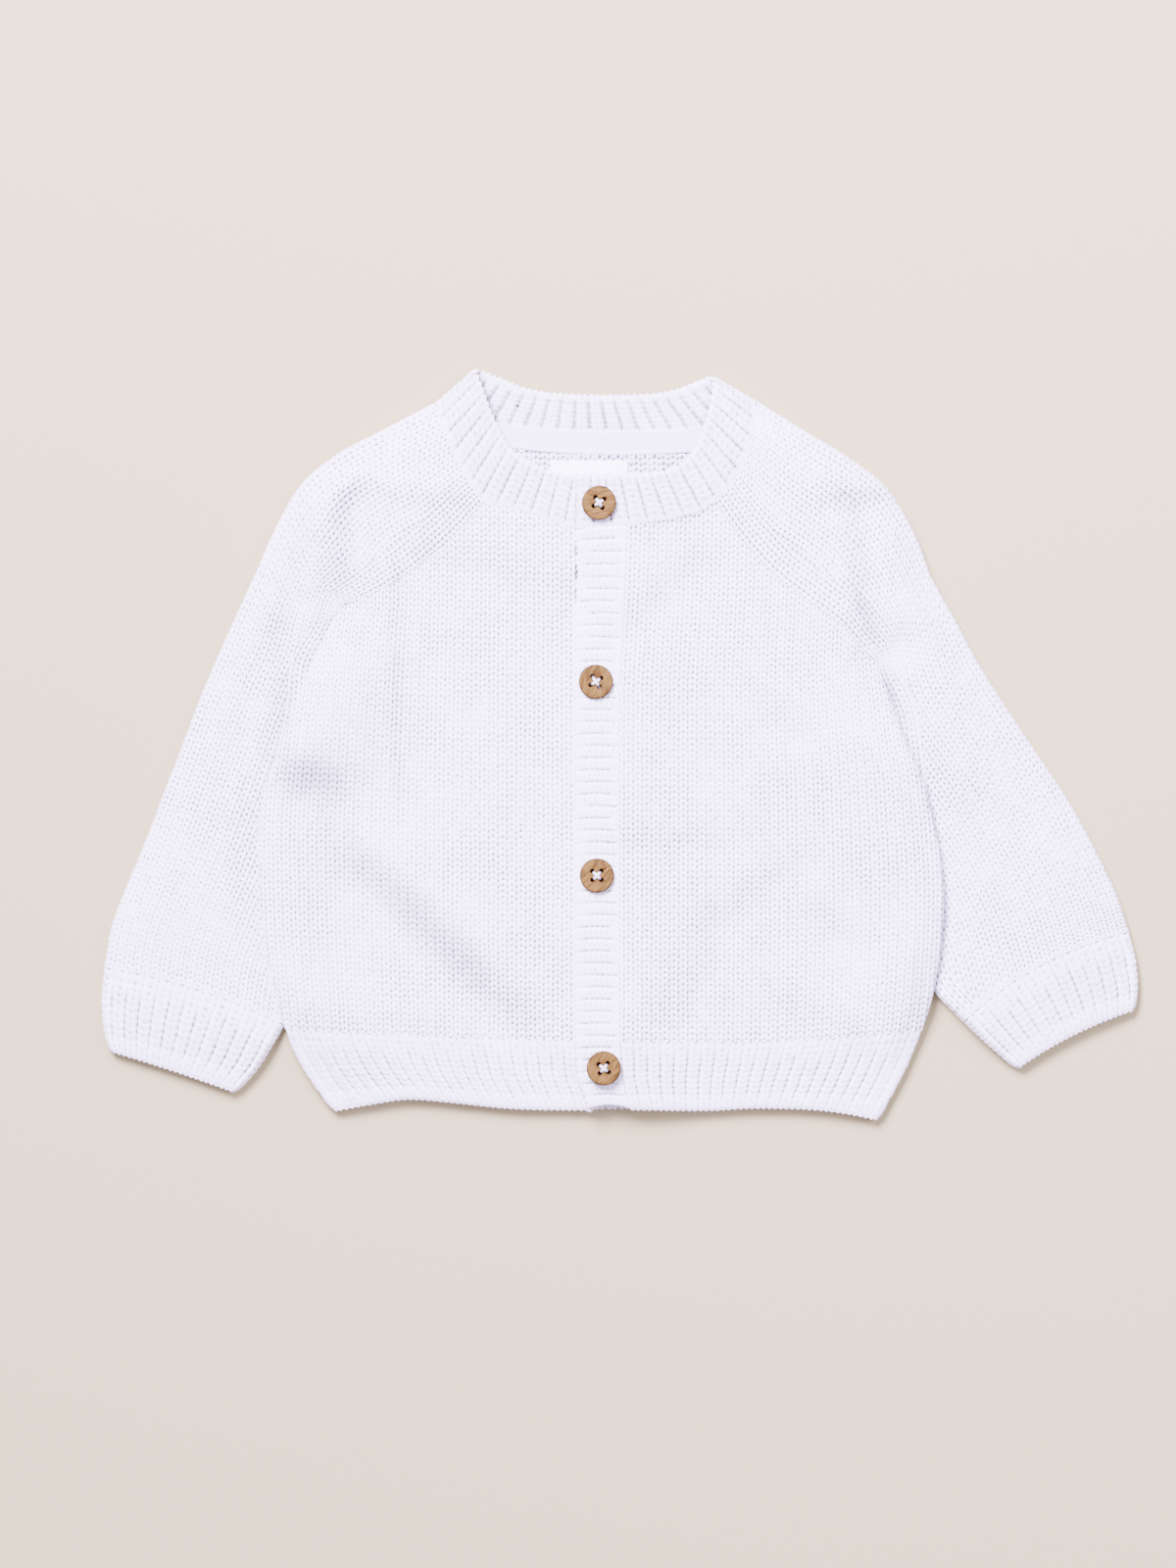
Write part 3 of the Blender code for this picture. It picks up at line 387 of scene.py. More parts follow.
lie = {
    "lift": 5.5,  # the body's edges lie this high on the sleeves
    "liftPlateau": 12.0,
    "liftSlope": 30.0,
    "liftRise": 48.0,
    "liftStart": 5.0,
    "liftFall": 50.0,
    "liftEnd": 28.0,  # below the place where the sleeve comes out
    "ease": 3.0,  # room between the layers
    "leastEase": 0.35,
    "mostEase": 6.6,
    "hollow": (-117.5, -15.0, 10.0, 3.0),  # x, y, radius and depth where the right side sags
    "sideSoft": 12.0,
    "armpitSoft": 11.0,  # softer by this much above the underarm
    "armpitStart": 6.0,
    "armpitRise": 12.0,
    "foldSoft": 13.0,
    "hemSoft": 30.0,
    "hemEase": 0.2,  # share of the room that is left at the free edges
    "hemLevel": -140.0,
    "cuffSoft": 26.0,
    "creaseTaper": 14.0,
    "foldShadeTaper": 9.0,
    "bumps": [(31.0, 0.25, 3), (12.0, 0.10, 5)],  # size, height and seed
    "mapStep": 1.25,
}
mapX = np.arange(-214.0, 215.0, lie["mapStep"])
mapY = np.arange(-158.0, 159.0, lie["mapStep"])


def foldsAt(rows, x, y, taper):
    total = np.zeros_like(x)
    for x0, y0, x1, y1, width, height in rows:
        run = math.hypot(x1 - x0, y1 - y0)
        ux, uy = (x1 - x0) / run, (y1 - y0) / run
        along = (x - x0) * ux + (y - y0) * uy
        aside = (y - y0) * ux - (x - x0) * uy
        past = np.maximum(np.maximum(-along, along - run), 0.0)
        total += height * np.exp(-((aside / width) ** 2) - (past / taper) ** 2)
    return total


def makeMaps():
    x, y = np.meshgrid(mapX, mapY)
    points = stack(x, y)
    lift = np.zeros_like(x)
    room = np.full_like(x, lie["ease"]) + foldsAt(creases, x, y, lie["creaseTaper"])
    room = np.clip(room, lie["leastEase"], lie["mostEase"])
    room += sum(height * softNoise(x, y, size, seed) for size, height, seed in lie["bumps"])
    bodyRoom, sleeveRoom = room.copy(), room.copy()

    def softBy(line, width):
        return smoothStep(nearestOn(line, points)[1] / width)

    for side, lines in curves.items():
        sign, edge = outlines[side]["sign"], lines["body"]
        underarm = edge[0, 1]
        distance = nearestOn(edge, points)[1]
        edgeX = np.interp(y, edge[::-1, 1], edge[::-1, 0])
        beyond = (y < underarm) & (sign * (x - edgeX) > 0)
        rise = 1 - smoothStep((np.where(beyond, 0.0, distance) - lie["liftPlateau"]) / lie["liftSlope"])
        begins = smoothStep((underarm + lie["liftStart"] - y) / lie["liftRise"])
        ends = smoothStep((y - outlines[side]["notch"] + lie["liftEnd"]) / lie["liftFall"])
        lift += lie["lift"] * rise * begins * ends
        bodyRoom *= smoothStep(distance / lie["sideSoft"])
        free = np.where(beyond | (y > underarm), distance, 0.0)
        free = np.where(sign * x > 0, free, np.inf)
        above = smoothStep((y - underarm + lie["armpitStart"]) / lie["armpitRise"])
        sleeveRoom *= smoothStep(free / (lie["sideSoft"] + lie["armpitSoft"] * above))
        soft = softBy(lines["outerFold"], lie["foldSoft"]) * softBy(lines["shoulderFold"], lie["foldSoft"])
        bodyRoom *= soft
        cuff = softBy(np.reshape(sections[side][-1][:4], (2, 2)), lie["cuffSoft"])
        sleeveRoom *= soft * (lie["hemEase"] + (1 - lie["hemEase"]) * cuff)
    hollowX, hollowY, radius, sag = lie["hollow"]
    lift = np.maximum(lift - sag * np.exp(-((x - hollowX) ** 2 + (y - hollowY) ** 2) / radius**2), 0.0)
    hem = lie["hemEase"] + (1 - lie["hemEase"]) * smoothStep((y - lie["hemLevel"]) / lie["hemSoft"])
    flat = 2 * cloth["thickness"] + cloth["layerGap"]
    heights = {"under": lift, "body": lift + flat + bodyRoom * hem, "sleeve": flat + sleeveRoom * hem}
    maps = {}
    for name, height in heights.items():
        down, across = np.gradient(height, lie["mapStep"])
        maps[name] = stack(height, across, down)
    return maps


heightMaps = makeMaps()


def levelAt(name, plan):
    # height of the cloth's outer face, and its slopes along x and y
    u = np.clip((plan[..., 0] - mapX[0]) / lie["mapStep"], 0, len(mapX) - 1.001)
    v = np.clip((plan[..., 1] - mapY[0]) / lie["mapStep"], 0, len(mapY) - 1.001)
    i, j = u.astype(int), v.astype(int)
    level = between(heightMaps[name], i, j, i + 1, j + 1, (u - i)[..., None], (v - j)[..., None])
    return level[..., 0], level[..., 1:3]


print("heights ready")


# knitting

speckle = rng.random((256, 256))


def perStitch(u, v, seed):
    # a number from 0 to 1 that is the same all over one stitch
    i, j = np.floor(u + 1e-6).astype(int), np.floor(v + 1e-6).astype(int)
    return speckle[(j * 7 + seed * 31) % 256, (i * 3 + seed * 17 + j) % 256]


def knit(kind, wales, courses, down=False, uneven=0.06, fadeEnds=False, growFrom=None):
    # corners of a field of stitches: place in wales and courses, relief in mm, and shade
    columns, rows = np.array(kind["columns"]), np.array(kind["rows"])
    u = np.concatenate([w + columns for w in range(*wales)] + [[wales[1]]])
    v = np.concatenate([c + rows for c in range(*courses)] + [[courses[1]]])
    columnKind = np.append(np.tile(np.arange(len(columns)), wales[1] - wales[0]), 0)
    rowKind = np.append(np.tile(np.arange(len(rows)), courses[1] - courses[0]), 0)
    u, v = np.meshgrid(u, v)

    def corners(source, name):
        return np.array(source[name])[rowKind][::-1 if down else 1, columnKind]

    relief, shade = corners(kind, "relief"), corners(kind, "shade")
    if growFrom:
        # the first courses are still the other kind
        share = smoothStep((v - growFrom["ragged"] * perStitch(u, 0 * v, 7)) / growFrom["courses"])
        relief = mix(corners(growFrom, "relief"), relief, share)
        shade = mix(corners(growFrom, "shade"), shade, share)
    varies, dims = cloth["reliefVaries"], cloth["shadeVaries"]
    relief = relief * (1 - varies / 2 + varies * perStitch(u, v, 1))
    relief = relief - cloth["sinkVaries"] * perStitch(u, v, 2)
    shade = shade * (1 - dims / 2 + dims * perStitch(u, v, 3))
    middle = 1 - np.abs(2 * (u - np.floor(u)) - 1)
    slant = kind["slant"] * middle * (1 if down else -1)
    if fadeEnds:
        slant = slant * smoothStep(v - courses[0]) * smoothStep(courses[1] - v)
    wobble = 0 if fadeEnds else uneven
    leanU = u + uneven * (perStitch(u, v, 4) - 0.5) * (middle > 0)
    drift = kind.get("drift", 0.0) * (perStitch(u, 0 * v, 6) - 0.5)
    leanV = v + slant + drift + wobble * (perStitch(u, v, 5) - 0.5)
    return leanU, leanV, relief, shade


def stitchUv(u, v):
    return stack(u, v) * uvStep


def mottled(shade, x, y, size, seeds):
    # slow and quick changes of the shade over the cloth
    slow, quick = softNoise(x, y, size, seeds[0]), softNoise(x, y, cloth["quickSize"], seeds[1])
    return shade * (0.9 + cloth["slowMottle"] * slow + cloth["quickMottle"] * quick)


def besideSeam(distance, least=0.4):
    # share of the relief that is left so near a seam
    return np.clip(least + distance / cloth["seamFade"], 0, 1)


def raised(points, normal, relief):
    return points + normal * relief[..., None]


def gridQuads(rows, columns, wrap=False, inside=None):
    index = np.arange(rows * columns).reshape(rows, columns)
    if wrap:
        index = np.vstack([index, index[:1]])
    quads = stack(index[:-1, :-1], index[:-1, 1:], index[1:, 1:], index[1:, :-1]).reshape(-1, 4)
    return quads if inside is None else quads[inside.reshape(-1)[quads].any(-1)]


def gridPart(points, u, v, shade, inside=None):
    return points, gridQuads(*u.shape, inside=inside), stitchUv(u, v), shade


def addObject(name, data):
    shown = bpy.data.objects.new(name, data)
    bpy.context.scene.collection.objects.link(shown)
    return shown


def makePiece(name, parts, material, nodes, facing=None):
    # one mesh from parts of points, quads, uv and shade; facing has a rough way out for each part
    points, quads, uvs, shades, count = [], [], [], [], 0
    for k, (p, q, uv, shade) in enumerate(parts):
        p = p.reshape(-1, 3)
        if facing:
            a, b, c = p[q[:, 0]], p[q[:, 1]], p[q[:, 3]]
            if (np.cross(b - a, c - a) @ np.array(facing[k])).sum() < 0:
                q = q[:, ::-1]
        points.append(p)
        quads.append(q + count)
        uvs.append(uv.reshape(-1, 2))
        shades.append(np.clip(shade, 0, mostShade).reshape(-1))
        count += len(p)
    points, quads, uvs, shades = (np.concatenate(rows) for rows in (points, quads, uvs, shades))
    mesh = bpy.data.meshes.new(name)
    mesh.from_pydata((points * mm).tolist(), [], quads.tolist())
    layer = mesh.uv_layers.new(name="stitches")
    layer.data.foreach_set("uv", uvs[quads.reshape(-1)].reshape(-1))
    mesh.attributes.new("shade", "FLOAT", "POINT").data.foreach_set("value", shades)
    work = bmesh.new()
    work.from_mesh(mesh)
    bmesh.ops.remove_doubles(work, verts=work.verts, dist=samePoint * mm)
    bmesh.ops.delete(work, geom=[v for v in work.verts if not v.link_faces], context="VERTS")
    if not facing:
        bmesh.ops.recalc_face_normals(work, faces=work.faces)
    work.to_mesh(mesh)
    work.free()
    mesh.shade_smooth()
    piece = addObject(name, mesh)
    mesh.materials.append(material)
    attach(piece, "root")
    if nodes:
        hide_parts(*nodes)
    triangles = sum(len(p.vertices) - 2 for p in mesh.polygons)
    print(f"{name}: {triangles} triangles")
    return piece


# finishes

def fillInputs(tree, node, inputs):
    # each input is a value or another node's output
    for key, value in inputs.items():
        if isinstance(value, bpy.types.NodeSocket):
            tree.links.new(value, node.inputs[key])
        else:
            node.inputs[key].default_value = value


def addNode(tree, kind, inputs, **settings):
    node = tree.nodes.new(kind)
    for key, value in settings.items():
        setattr(node, key, value)
    fillInputs(tree, node, inputs)
    return node.outputs


def addNoise(tree, place, scale, detail, **more):
    inputs = {"Vector": place, "Scale": scale, "Detail": detail, **more}
    return addNode(tree, "ShaderNodeTexNoise", inputs)["Fac"]


def addWave(tree, place, way, **more):
    return addNode(tree, "ShaderNodeTexWave", {"Vector": place, **more}, bands_direction=way)["Fac"]


def stitchPlace(tree):
    return addNode(tree, "ShaderNodeUVMap", {}, uv_map="stitches")["UV"]


def objectPlace(tree):
    return addNode(tree, "ShaderNodeTexCoord", {})["Object"]


def meshShade(tree):
    return addNode(tree, "ShaderNodeAttribute", {}, attribute_name="shade")["Fac"]


def addMath(tree, operation, *values, clamp=False):
    return addNode(tree, "ShaderNodeMath", dict(enumerate(values)), operation=operation, use_clamp=clamp)[0]


def addRange(tree, value, fromMin, fromMax, toMin, toMax):
    limits = {"From Min": fromMin, "From Max": fromMax, "To Min": toMin, "To Max": toMax}
    return addNode(tree, "ShaderNodeMapRange", {"Value": value, **limits})["Result"]


def newMaterial(name, first, second, bump, looks, draw):
    # draw gives the share of the second colour and the height of the bumps
    material = bpy.data.materials.new(name)
    material.use_nodes = True
    tree = material.node_tree
    share, height = draw(tree)
    colours = {0: share, 6: (*first, 1.0), 7: (*second, 1.0)}
    strength, distance = bump
    bumps = {"Height": height, "Strength": strength, "Distance": distance * mm}
    shown = {"Base Color": addNode(tree, "ShaderNodeMix", colours, data_type="RGBA")[2],
             "Normal": addNode(tree, "ShaderNodeBump", bumps)["Normal"]}
    fillInputs(tree, tree.nodes["Principled BSDF"], {**shown, **looks})
    return material


yarn = {
    "colour": (0.957, 0.890, 1.0),
    "hollow": (0.152, 0.136, 0.160),  # painted shade deep between the stitches, in the grooves and in the folds
    "paintedShadeStrength": 0.95,
    "plyScale": 1150.0,
    "plies": (0.45, 0.68, 0.0, 0.21),  # how much the twist of the yarn shows: from, to, least, most
    "patchScale": 55.0,
    "patches": (0.0, 1.0, 0.75, 1.20),  # how much the painted shade in the hollows changes from place to place
    "fibreScale": 2600.0,
    "fibres": (0.5, 0.2),  # strength and height of the fine bumps
    "looks": {"Roughness": 0.92, "Sheen Weight": 0.25, "Sheen Roughness": 0.5},
}


def drawYarn(tree):
    place = objectPlace(tree)
    plies = addNoise(tree, place, yarn["plyScale"], 2.0, Roughness=0.6)
    twist = addRange(tree, plies, *yarn["plies"])
    uneven = addRange(tree, addNoise(tree, place, yarn["patchScale"], 3.0), *yarn["patches"])
    # the painted shade from the mesh takes the yarn's colour towards the hollow colour
    depth = addMath(tree, "MULTIPLY", meshShade(tree), uneven)
    share = addMath(tree, "MULTIPLY_ADD", depth, yarn["paintedShadeStrength"], twist, clamp=True)
    return share, addNoise(tree, place, yarn["fibreScale"], 3.0, Roughness=0.6)


def fineCotton(name, colour, lines, roughness, sheen):
    # tape and label: close lines of thread along u, in the piece's own coordinates
    def draw(tree):
        place = stitchPlace(tree)
        wave = addWave(tree, place, "Y", Scale=lines, Distortion=0.6, Detail=1.0)
        return wave, addMath(tree, "ADD", wave, addNoise(tree, place, 9.0, 3.0))

    return newMaterial(name, [c * 0.93 for c in colour], colour, (0.35, 0.2),
                       {"Roughness": roughness, "Sheen Weight": sheen}, draw)


cotton = newMaterial("cotton yarn", yarn["colour"], yarn["hollow"], yarn["fibres"], yarn["looks"], drawYarn)


# fronts

fronts = {
    "edgeRoll": 2.4,  # radius of the body's side edge
    "rollStart": 16.0,
    "atEdge": 0.05,  # nearer than this is the edge itself
    "seamDepth": 0.15,
    "seamWidth": 1.1,
    "spread": 0.45,  # share of the side's curve that the outer wales follow
    "spreadFrom": 2.5,
    "widest": 126,
    "top": 96.0,
    "edgeRelief": -0.3,  # of the corners that are moved to the outline
    "mottleSize": 24.0,
    # x, half length, width and strength of the deeper painted shade in the stitches under the neckband
    "neckHoles": (22.0, 18.0, 1.6, 2.2, 0.4),
}
bands = {
    # y, free edge x, sewn edge x of the upper band
    "edges": [(82.4, -17.2, 2.4), (60.0, -17.2, 1.7), (22.5, -17.2, -0.3), (-52.5, -17.0, -0.4),
              (-113.0, -17.0, -0.4), (-127.5, -16.2, 0.6), (-139.0, -12.0, 3.4), (-141.0, -11.3, 4.0)],
    "top": 82.1,
    "bottom": -139.0,
    "step": 3.2,  # the upper band lies this much above the lower one
    "stepSlope": 36.0,
    "ribs": 48,
    "courses": 8,
    "bow": 0.5,  # how far a rib rises in the middle
    "bottomBow": 0.5,  # more at the lowest ribs
    "bottomShare": 0.07,  # share of the length that they take up
    "topRise": 1.7,  # the first ribs slope up to the neckband's seam
    "underlap": 1.5,
    "grooves": 0.78,  # share of a full rib's depth
    "leastGroove": 0.25,
    "grooveStart": (0.08, 0.12),  # from the sewn edge, as shares of the width
    "grooveEnd": (0.74, 0.16, 0.85, 1.5),  # start, run, how much it fades, how ragged
    "proud": 0.3,  # how far the band stands above its level
    "seamRun": 0.9,  # courses over which it rises from the seam
    "shade": 0.02,
    "gape": 1.3,  # the free edge stands off this far, most at gapeAt
    "gapeHeight": 0.5,
    "gapeSink": 0.6,  # how far the lower band sinks under it
    "gapeAt": 67.0,
    "gapeLength": 13.0,
    "gapeWave": (7.6, 9.0),  # start and length of the two places inside it
    "ragged": 0.16,  # how unevenly the grooves begin and end
    "corner": 1.9,  # the lower band's corner shows this far below the upper one
}
bandTable = np.array(bands["edges"])[::-1]


def bandEdges(y):
    return [np.interp(y, bandTable[:, 0], bandTable[:, k]) for k in (1, 2)]


def frontStart(side, y):
    # x where a front meets its band
    return bandEdges(y)[0 if side == "right" else 1]


def bodyLevel(side, plan):
    # height and slopes of the upper layer, with the left front's step up beside the bands
    z, slope = levelAt("body", plan)
    if side == "left":
        share = np.clip((plan[..., 0] - bandEdges(plan[..., 1])[1]) / bands["stepSlope"], 0, 1)
        z = z + bands["step"] * (1 - smoothStep(share))
        lean = -bands["step"] * 6 * share * (1 - share) / bands["stepSlope"]
        slope = slope + stack(lean, 0 * lean)
    return z, slope


def edgeRoll(plan, foot, distance, thick):
    # how far a rounded edge turns away, and its slopes
    share = np.clip(1 - distance / fronts["edgeRoll"], 0, 0.995)
    rest = np.sqrt(1 - share**2)
    away = (plan - foot) / np.maximum(distance, fronts["atEdge"])[..., None]
    return thick * (1 - rest), (thick * share / rest / fronts["edgeRoll"])[..., None] * away


def bodySurface(plan, side, seams):
    # points and ways out of the body's upper face, rolled at the side and sunk at the seams
    edge = curves[side]["body"]
    z, slope = bodyLevel(side, plan)
    foot, distance = nearestOn(edge, plan)
    rolled = smoothStep((edge[0, 1] - plan[..., 1]) / fronts["rollStart"])  # none at the underarm
    fall, lean = edgeRoll(plan, foot, distance, (cloth["thickness"] + cloth["layerGap"] / 2) * rolled)
    sink = nearestOn(seams, plan)[1]
    z = z - fall - fronts["seamDepth"] * bell(sink, fronts["seamWidth"])
    normal = withHeight(-(slope + lean), np.ones_like(z))
    atEdge = (distance < fronts["atEdge"]) & (rolled > 0.5)
    normal = np.where(atEdge[..., None], (outlines[side]["sign"], 0.0, 0.15), normal)
    return withHeight(plan, z), unit(normal), sink


def trimTo(outline, plan):
    # corners outside the outline move to it
    inside = insideOf(outline, plan)
    return inside, np.where(inside[..., None], plan, nearestOn(closeLine(outline), plan)[0])


def frontSheet(side):
    sign, lines = outlines[side]["sign"], curves[side]
    hemTop, neck, raglan = lines["hemTop"].copy(), lines["neckFront"].copy(), lines["raglanFront"][::-1]
    bandY = np.linspace(hemTop[-1, 1], neck[0, 1], 40)
    bandLine = stack(frontStart(side, bandY), bandY)
    hemTop[-1], neck[0] = bandLine[0], bandLine[-1]
    outline = joinLines(hemTop, bandLine, neck, raglan, lines["side"])[:-1]
    wales = int(np.ceil(fronts["widest"] / cloth["wale"]))
    courses = int(np.ceil((fronts["top"] - hemTop[:, 1].min()) / cloth["course"])) + 1
    u, v, relief, shade = knit(plainKnit, (-1, wales + 3), (-1, courses))
    x = frontStart(side, 0.0) + sign * u * cloth["wale"]
    order = np.argsort(hemTop[:, 0])
    y = np.interp(x, hemTop[order, 0], hemTop[order, 1]) + v * cloth["course"]
    start = frontStart(side, y)
    edge = lines["side"][::-1]
    width = np.abs(np.interp(y, edge[:, 1], edge[:, 0]) - start)
    shift = fronts["spread"] * (width - wales * cloth["wale"])
    x = start + sign * (u * cloth["wale"] + shift * np.clip(u / wales, 0, 1.2) ** fronts["spreadFrom"])
    inside, plan = trimTo(outline, stack(x, y))
    points, normal, sink = bodySurface(plan, side, joinLines(neck, raglan))
    points = raised(points, normal, np.where(inside, relief, fronts["edgeRelief"]) * besideSeam(sink))
    # painted shade in the stitches, mottled, with more in the tight folds
    shade = mottled(shade, x, y, fronts["mottleSize"], (9, 12)) + foldsAt(paintedFoldShade, x, y, lie["foldShadeTaper"])
    # deeper painted shade in the stitches along the neck seam
    middle, reach, width, deeper, added = fronts["neckHoles"]
    holes = bell(x - middle, reach) * bell(nearestOn(neck, plan)[1], width)
    shade = shade * (1 + deeper * holes) + added * holes
    piece = makePiece(f"front_{side}", [gridPart(points, u, v, shade, inside)], cotton,
                      [f"front_{side}"], facing=[(0, 0, 1)])
    return piece, outline


def polygonArea(outline):
    x, y = outline[:, 0], outline[:, 1]
    return abs(float((x * np.roll(y, -1) - y * np.roll(x, -1)).sum())) / 2


for sideName in outlines:
    sheet, edgeLine = frontSheet(sideName)
    size = np.ptp(edgeLine, axis=0) * mm
    polygonArea(edgeLine) * mm * mm
print("fronts ready")


# sleeves and cuffs: a tube laid flat, a is the way round from the outer fold, to the front over zero

sleeves = {
    "capSteps": 3,  # sections of the cap for each point of the shoulder
    "capWales": 13.5,  # wales of the front half at the shoulder, which follow the raglan seam
    "capEnd": (4.0, 26.0),  # how far below the cap the wales turn to their usual width, and over what
    "narrowest": 3.0,
    "widest": 3.9,
    "seamWales": 3,
    "seamRows": 4,  # rows of wide holes beside the raglan seam
    "seamHoles": 1.0,  # how much more painted shade the holes have in the seam itself than in these rows
    "seamHoleWidth": 3.4,
    "seamHoleEnd": 12.0,  # they fade over this much towards the underarm
    "rowHoles": 1.5,
    "tuck": 3.0,  # how far the sleeve goes in under the body's edge at the underarm
    "calm": 0.65,  # how much less painted shade the crowded stitches at the underarm get
    "calmReach": 7.0,
    "paintedContactShade": 0.55,  # how dark the painted shade on the sleeve is against the body's edge below the underarm
    "contactWidth": 1.8,
    "contactStart": 3.0,
    "contactLength": 34.0,
    "mottleSize": 26.0,
    "beforeCuff": (0.35, 3.0),  # least share of the relief at the cuff's seam, and how far it fades
}
denseSteps = 12  # sections worked out between two given ones


def sleeveSections(side):
    # outer fold, front seam, back seam, bow, how far the inner edge is folded, pull of the neckline
    rows, steps = outlines[side], sleeves["capSteps"]
    shoulder = curveThrough([rows["neckSleeve"][-1]] + rows["shoulder"][1:], steps)
    shares = np.linspace(1, 0, len(shoulder))
    front, behind = (pointsAt(curves[side][name], shares) for name in ("raglanFront", "raglanBack"))
    table = [(*shoulder[k], *front[k], *behind[k], 0.0, 0.0, max(0.0, 1 - k / steps / 3))
             for k in range(len(shoulder))]
    for k, (ox, oy, ix, iy, bow) in enumerate(sections[side][:armRows]):
        ix -= rows["sign"] * max(0.0, sleeves["tuck"] * (1 - k / 3))
        table.append((ox, oy, ix, iy, ix, iy, bow, min(1.0, 0.5 + 0.5 * k), 0.0))
    return table


def cuffSections(side):
    return [(ox, oy, ix, iy, ix, iy, bow, 1.0, 0.0) for ox, oy, ix, iy, bow in sections[side][armRows - 1:]]


def denseSections(table):
    # sections close together, with the length along the middle of the sleeve
    dense = curveThrough(table, denseSteps)
    dense[:, 7:] = np.clip(dense[:, 7:], 0, 1)
    return dense, lengthsAlong((dense[:, 0:2] + dense[:, 2:4]) / 2)


def halfLength(section, isFront):
    # way round from the outer fold to the seam on one half
    target = section[..., 2:4] if isFront else section[..., 4:6]
    width = np.linalg.norm(target - section[..., 0:2], axis=-1)
    r = cloth["foldRadius"]
    return width - r + math.pi / 2 * r + (math.pi / 2 - 1) * r * section[..., 7]


def wayRound(section, a):
    return np.where(a >= 0, halfLength(section, True), halfLength(section, False))


def tubeSurface(section, a, side, neckCurve=None):
    # points and ways out of the tube at each section and way round, and the way left to the seam
    r, isFront = cloth["foldRadius"], a >= 0
    outer, bow, bend, pull = section[..., 0:2], section[..., 6], section[..., 7], section[..., 8]
    way = np.where(isFront[..., None], section[..., 2:4], section[..., 4:6]) - outer
    width = np.linalg.norm(way, axis=-1)
    way = way / width[..., None]
    length = wayRound(section, a)
    a = np.clip(np.abs(a), 0, length)
    left = length - a
    turn = np.clip(a / r, 0, math.pi / 2)
    reach = np.where(a < math.pi / 2 * r, r * (1 - np.cos(turn)), r + a - math.pi / 2 * r)
    inner = np.maximum(r * bend, 1e-3)
    back = np.clip(left / inner, 0, math.pi / 2)
    folded = left < math.pi / 2 * inner
    reach = np.where(folded, width - inner * (1 - np.cos(back)), reach)
    share = reach / width
    aside = stack(way[..., 1], -way[..., 0]) * -outlines[side]["sign"]
    plan = outer + way * reach[..., None] + aside * (4 * share * (1 - share) * bow)[..., None]
    if neckCurve is not None:
        chord = neckCurve[0] + share[..., None] * (neckCurve[-1] - neckCurve[0])
        plan = plan + np.where(isFront, pull, 0.0)[..., None] * (pointsAt(neckCurve, share) - chord)
    level, slope = levelAt("sleeve", plan)
    up = np.where(isFront, 1.0, -1.0)
    sine = np.sin(turn) * np.where(folded, 1 - (1 - np.sin(back)) * bend, 1.0)
    z = r + up * np.where(isFront, level - r, r) * sine
    slope = np.where((isFront & ~folded & (turn > 1.5))[..., None], slope, 0.0)
    lean = np.cos(turn)[..., None] * -way + (np.where(folded, np.cos(back), 0) * bend)[..., None] * way
    return withHeight(plan, z), unit(withHeight(lean - slope, up * sine)), left


def sectionAt(dense, along, places):
    index = np.interp(places, along, np.arange(len(along)))
    i = np.clip(index.astype(int), 0, len(along) - 2)
    return mix(dense[i], dense[i + 1], (index - i)[..., None])


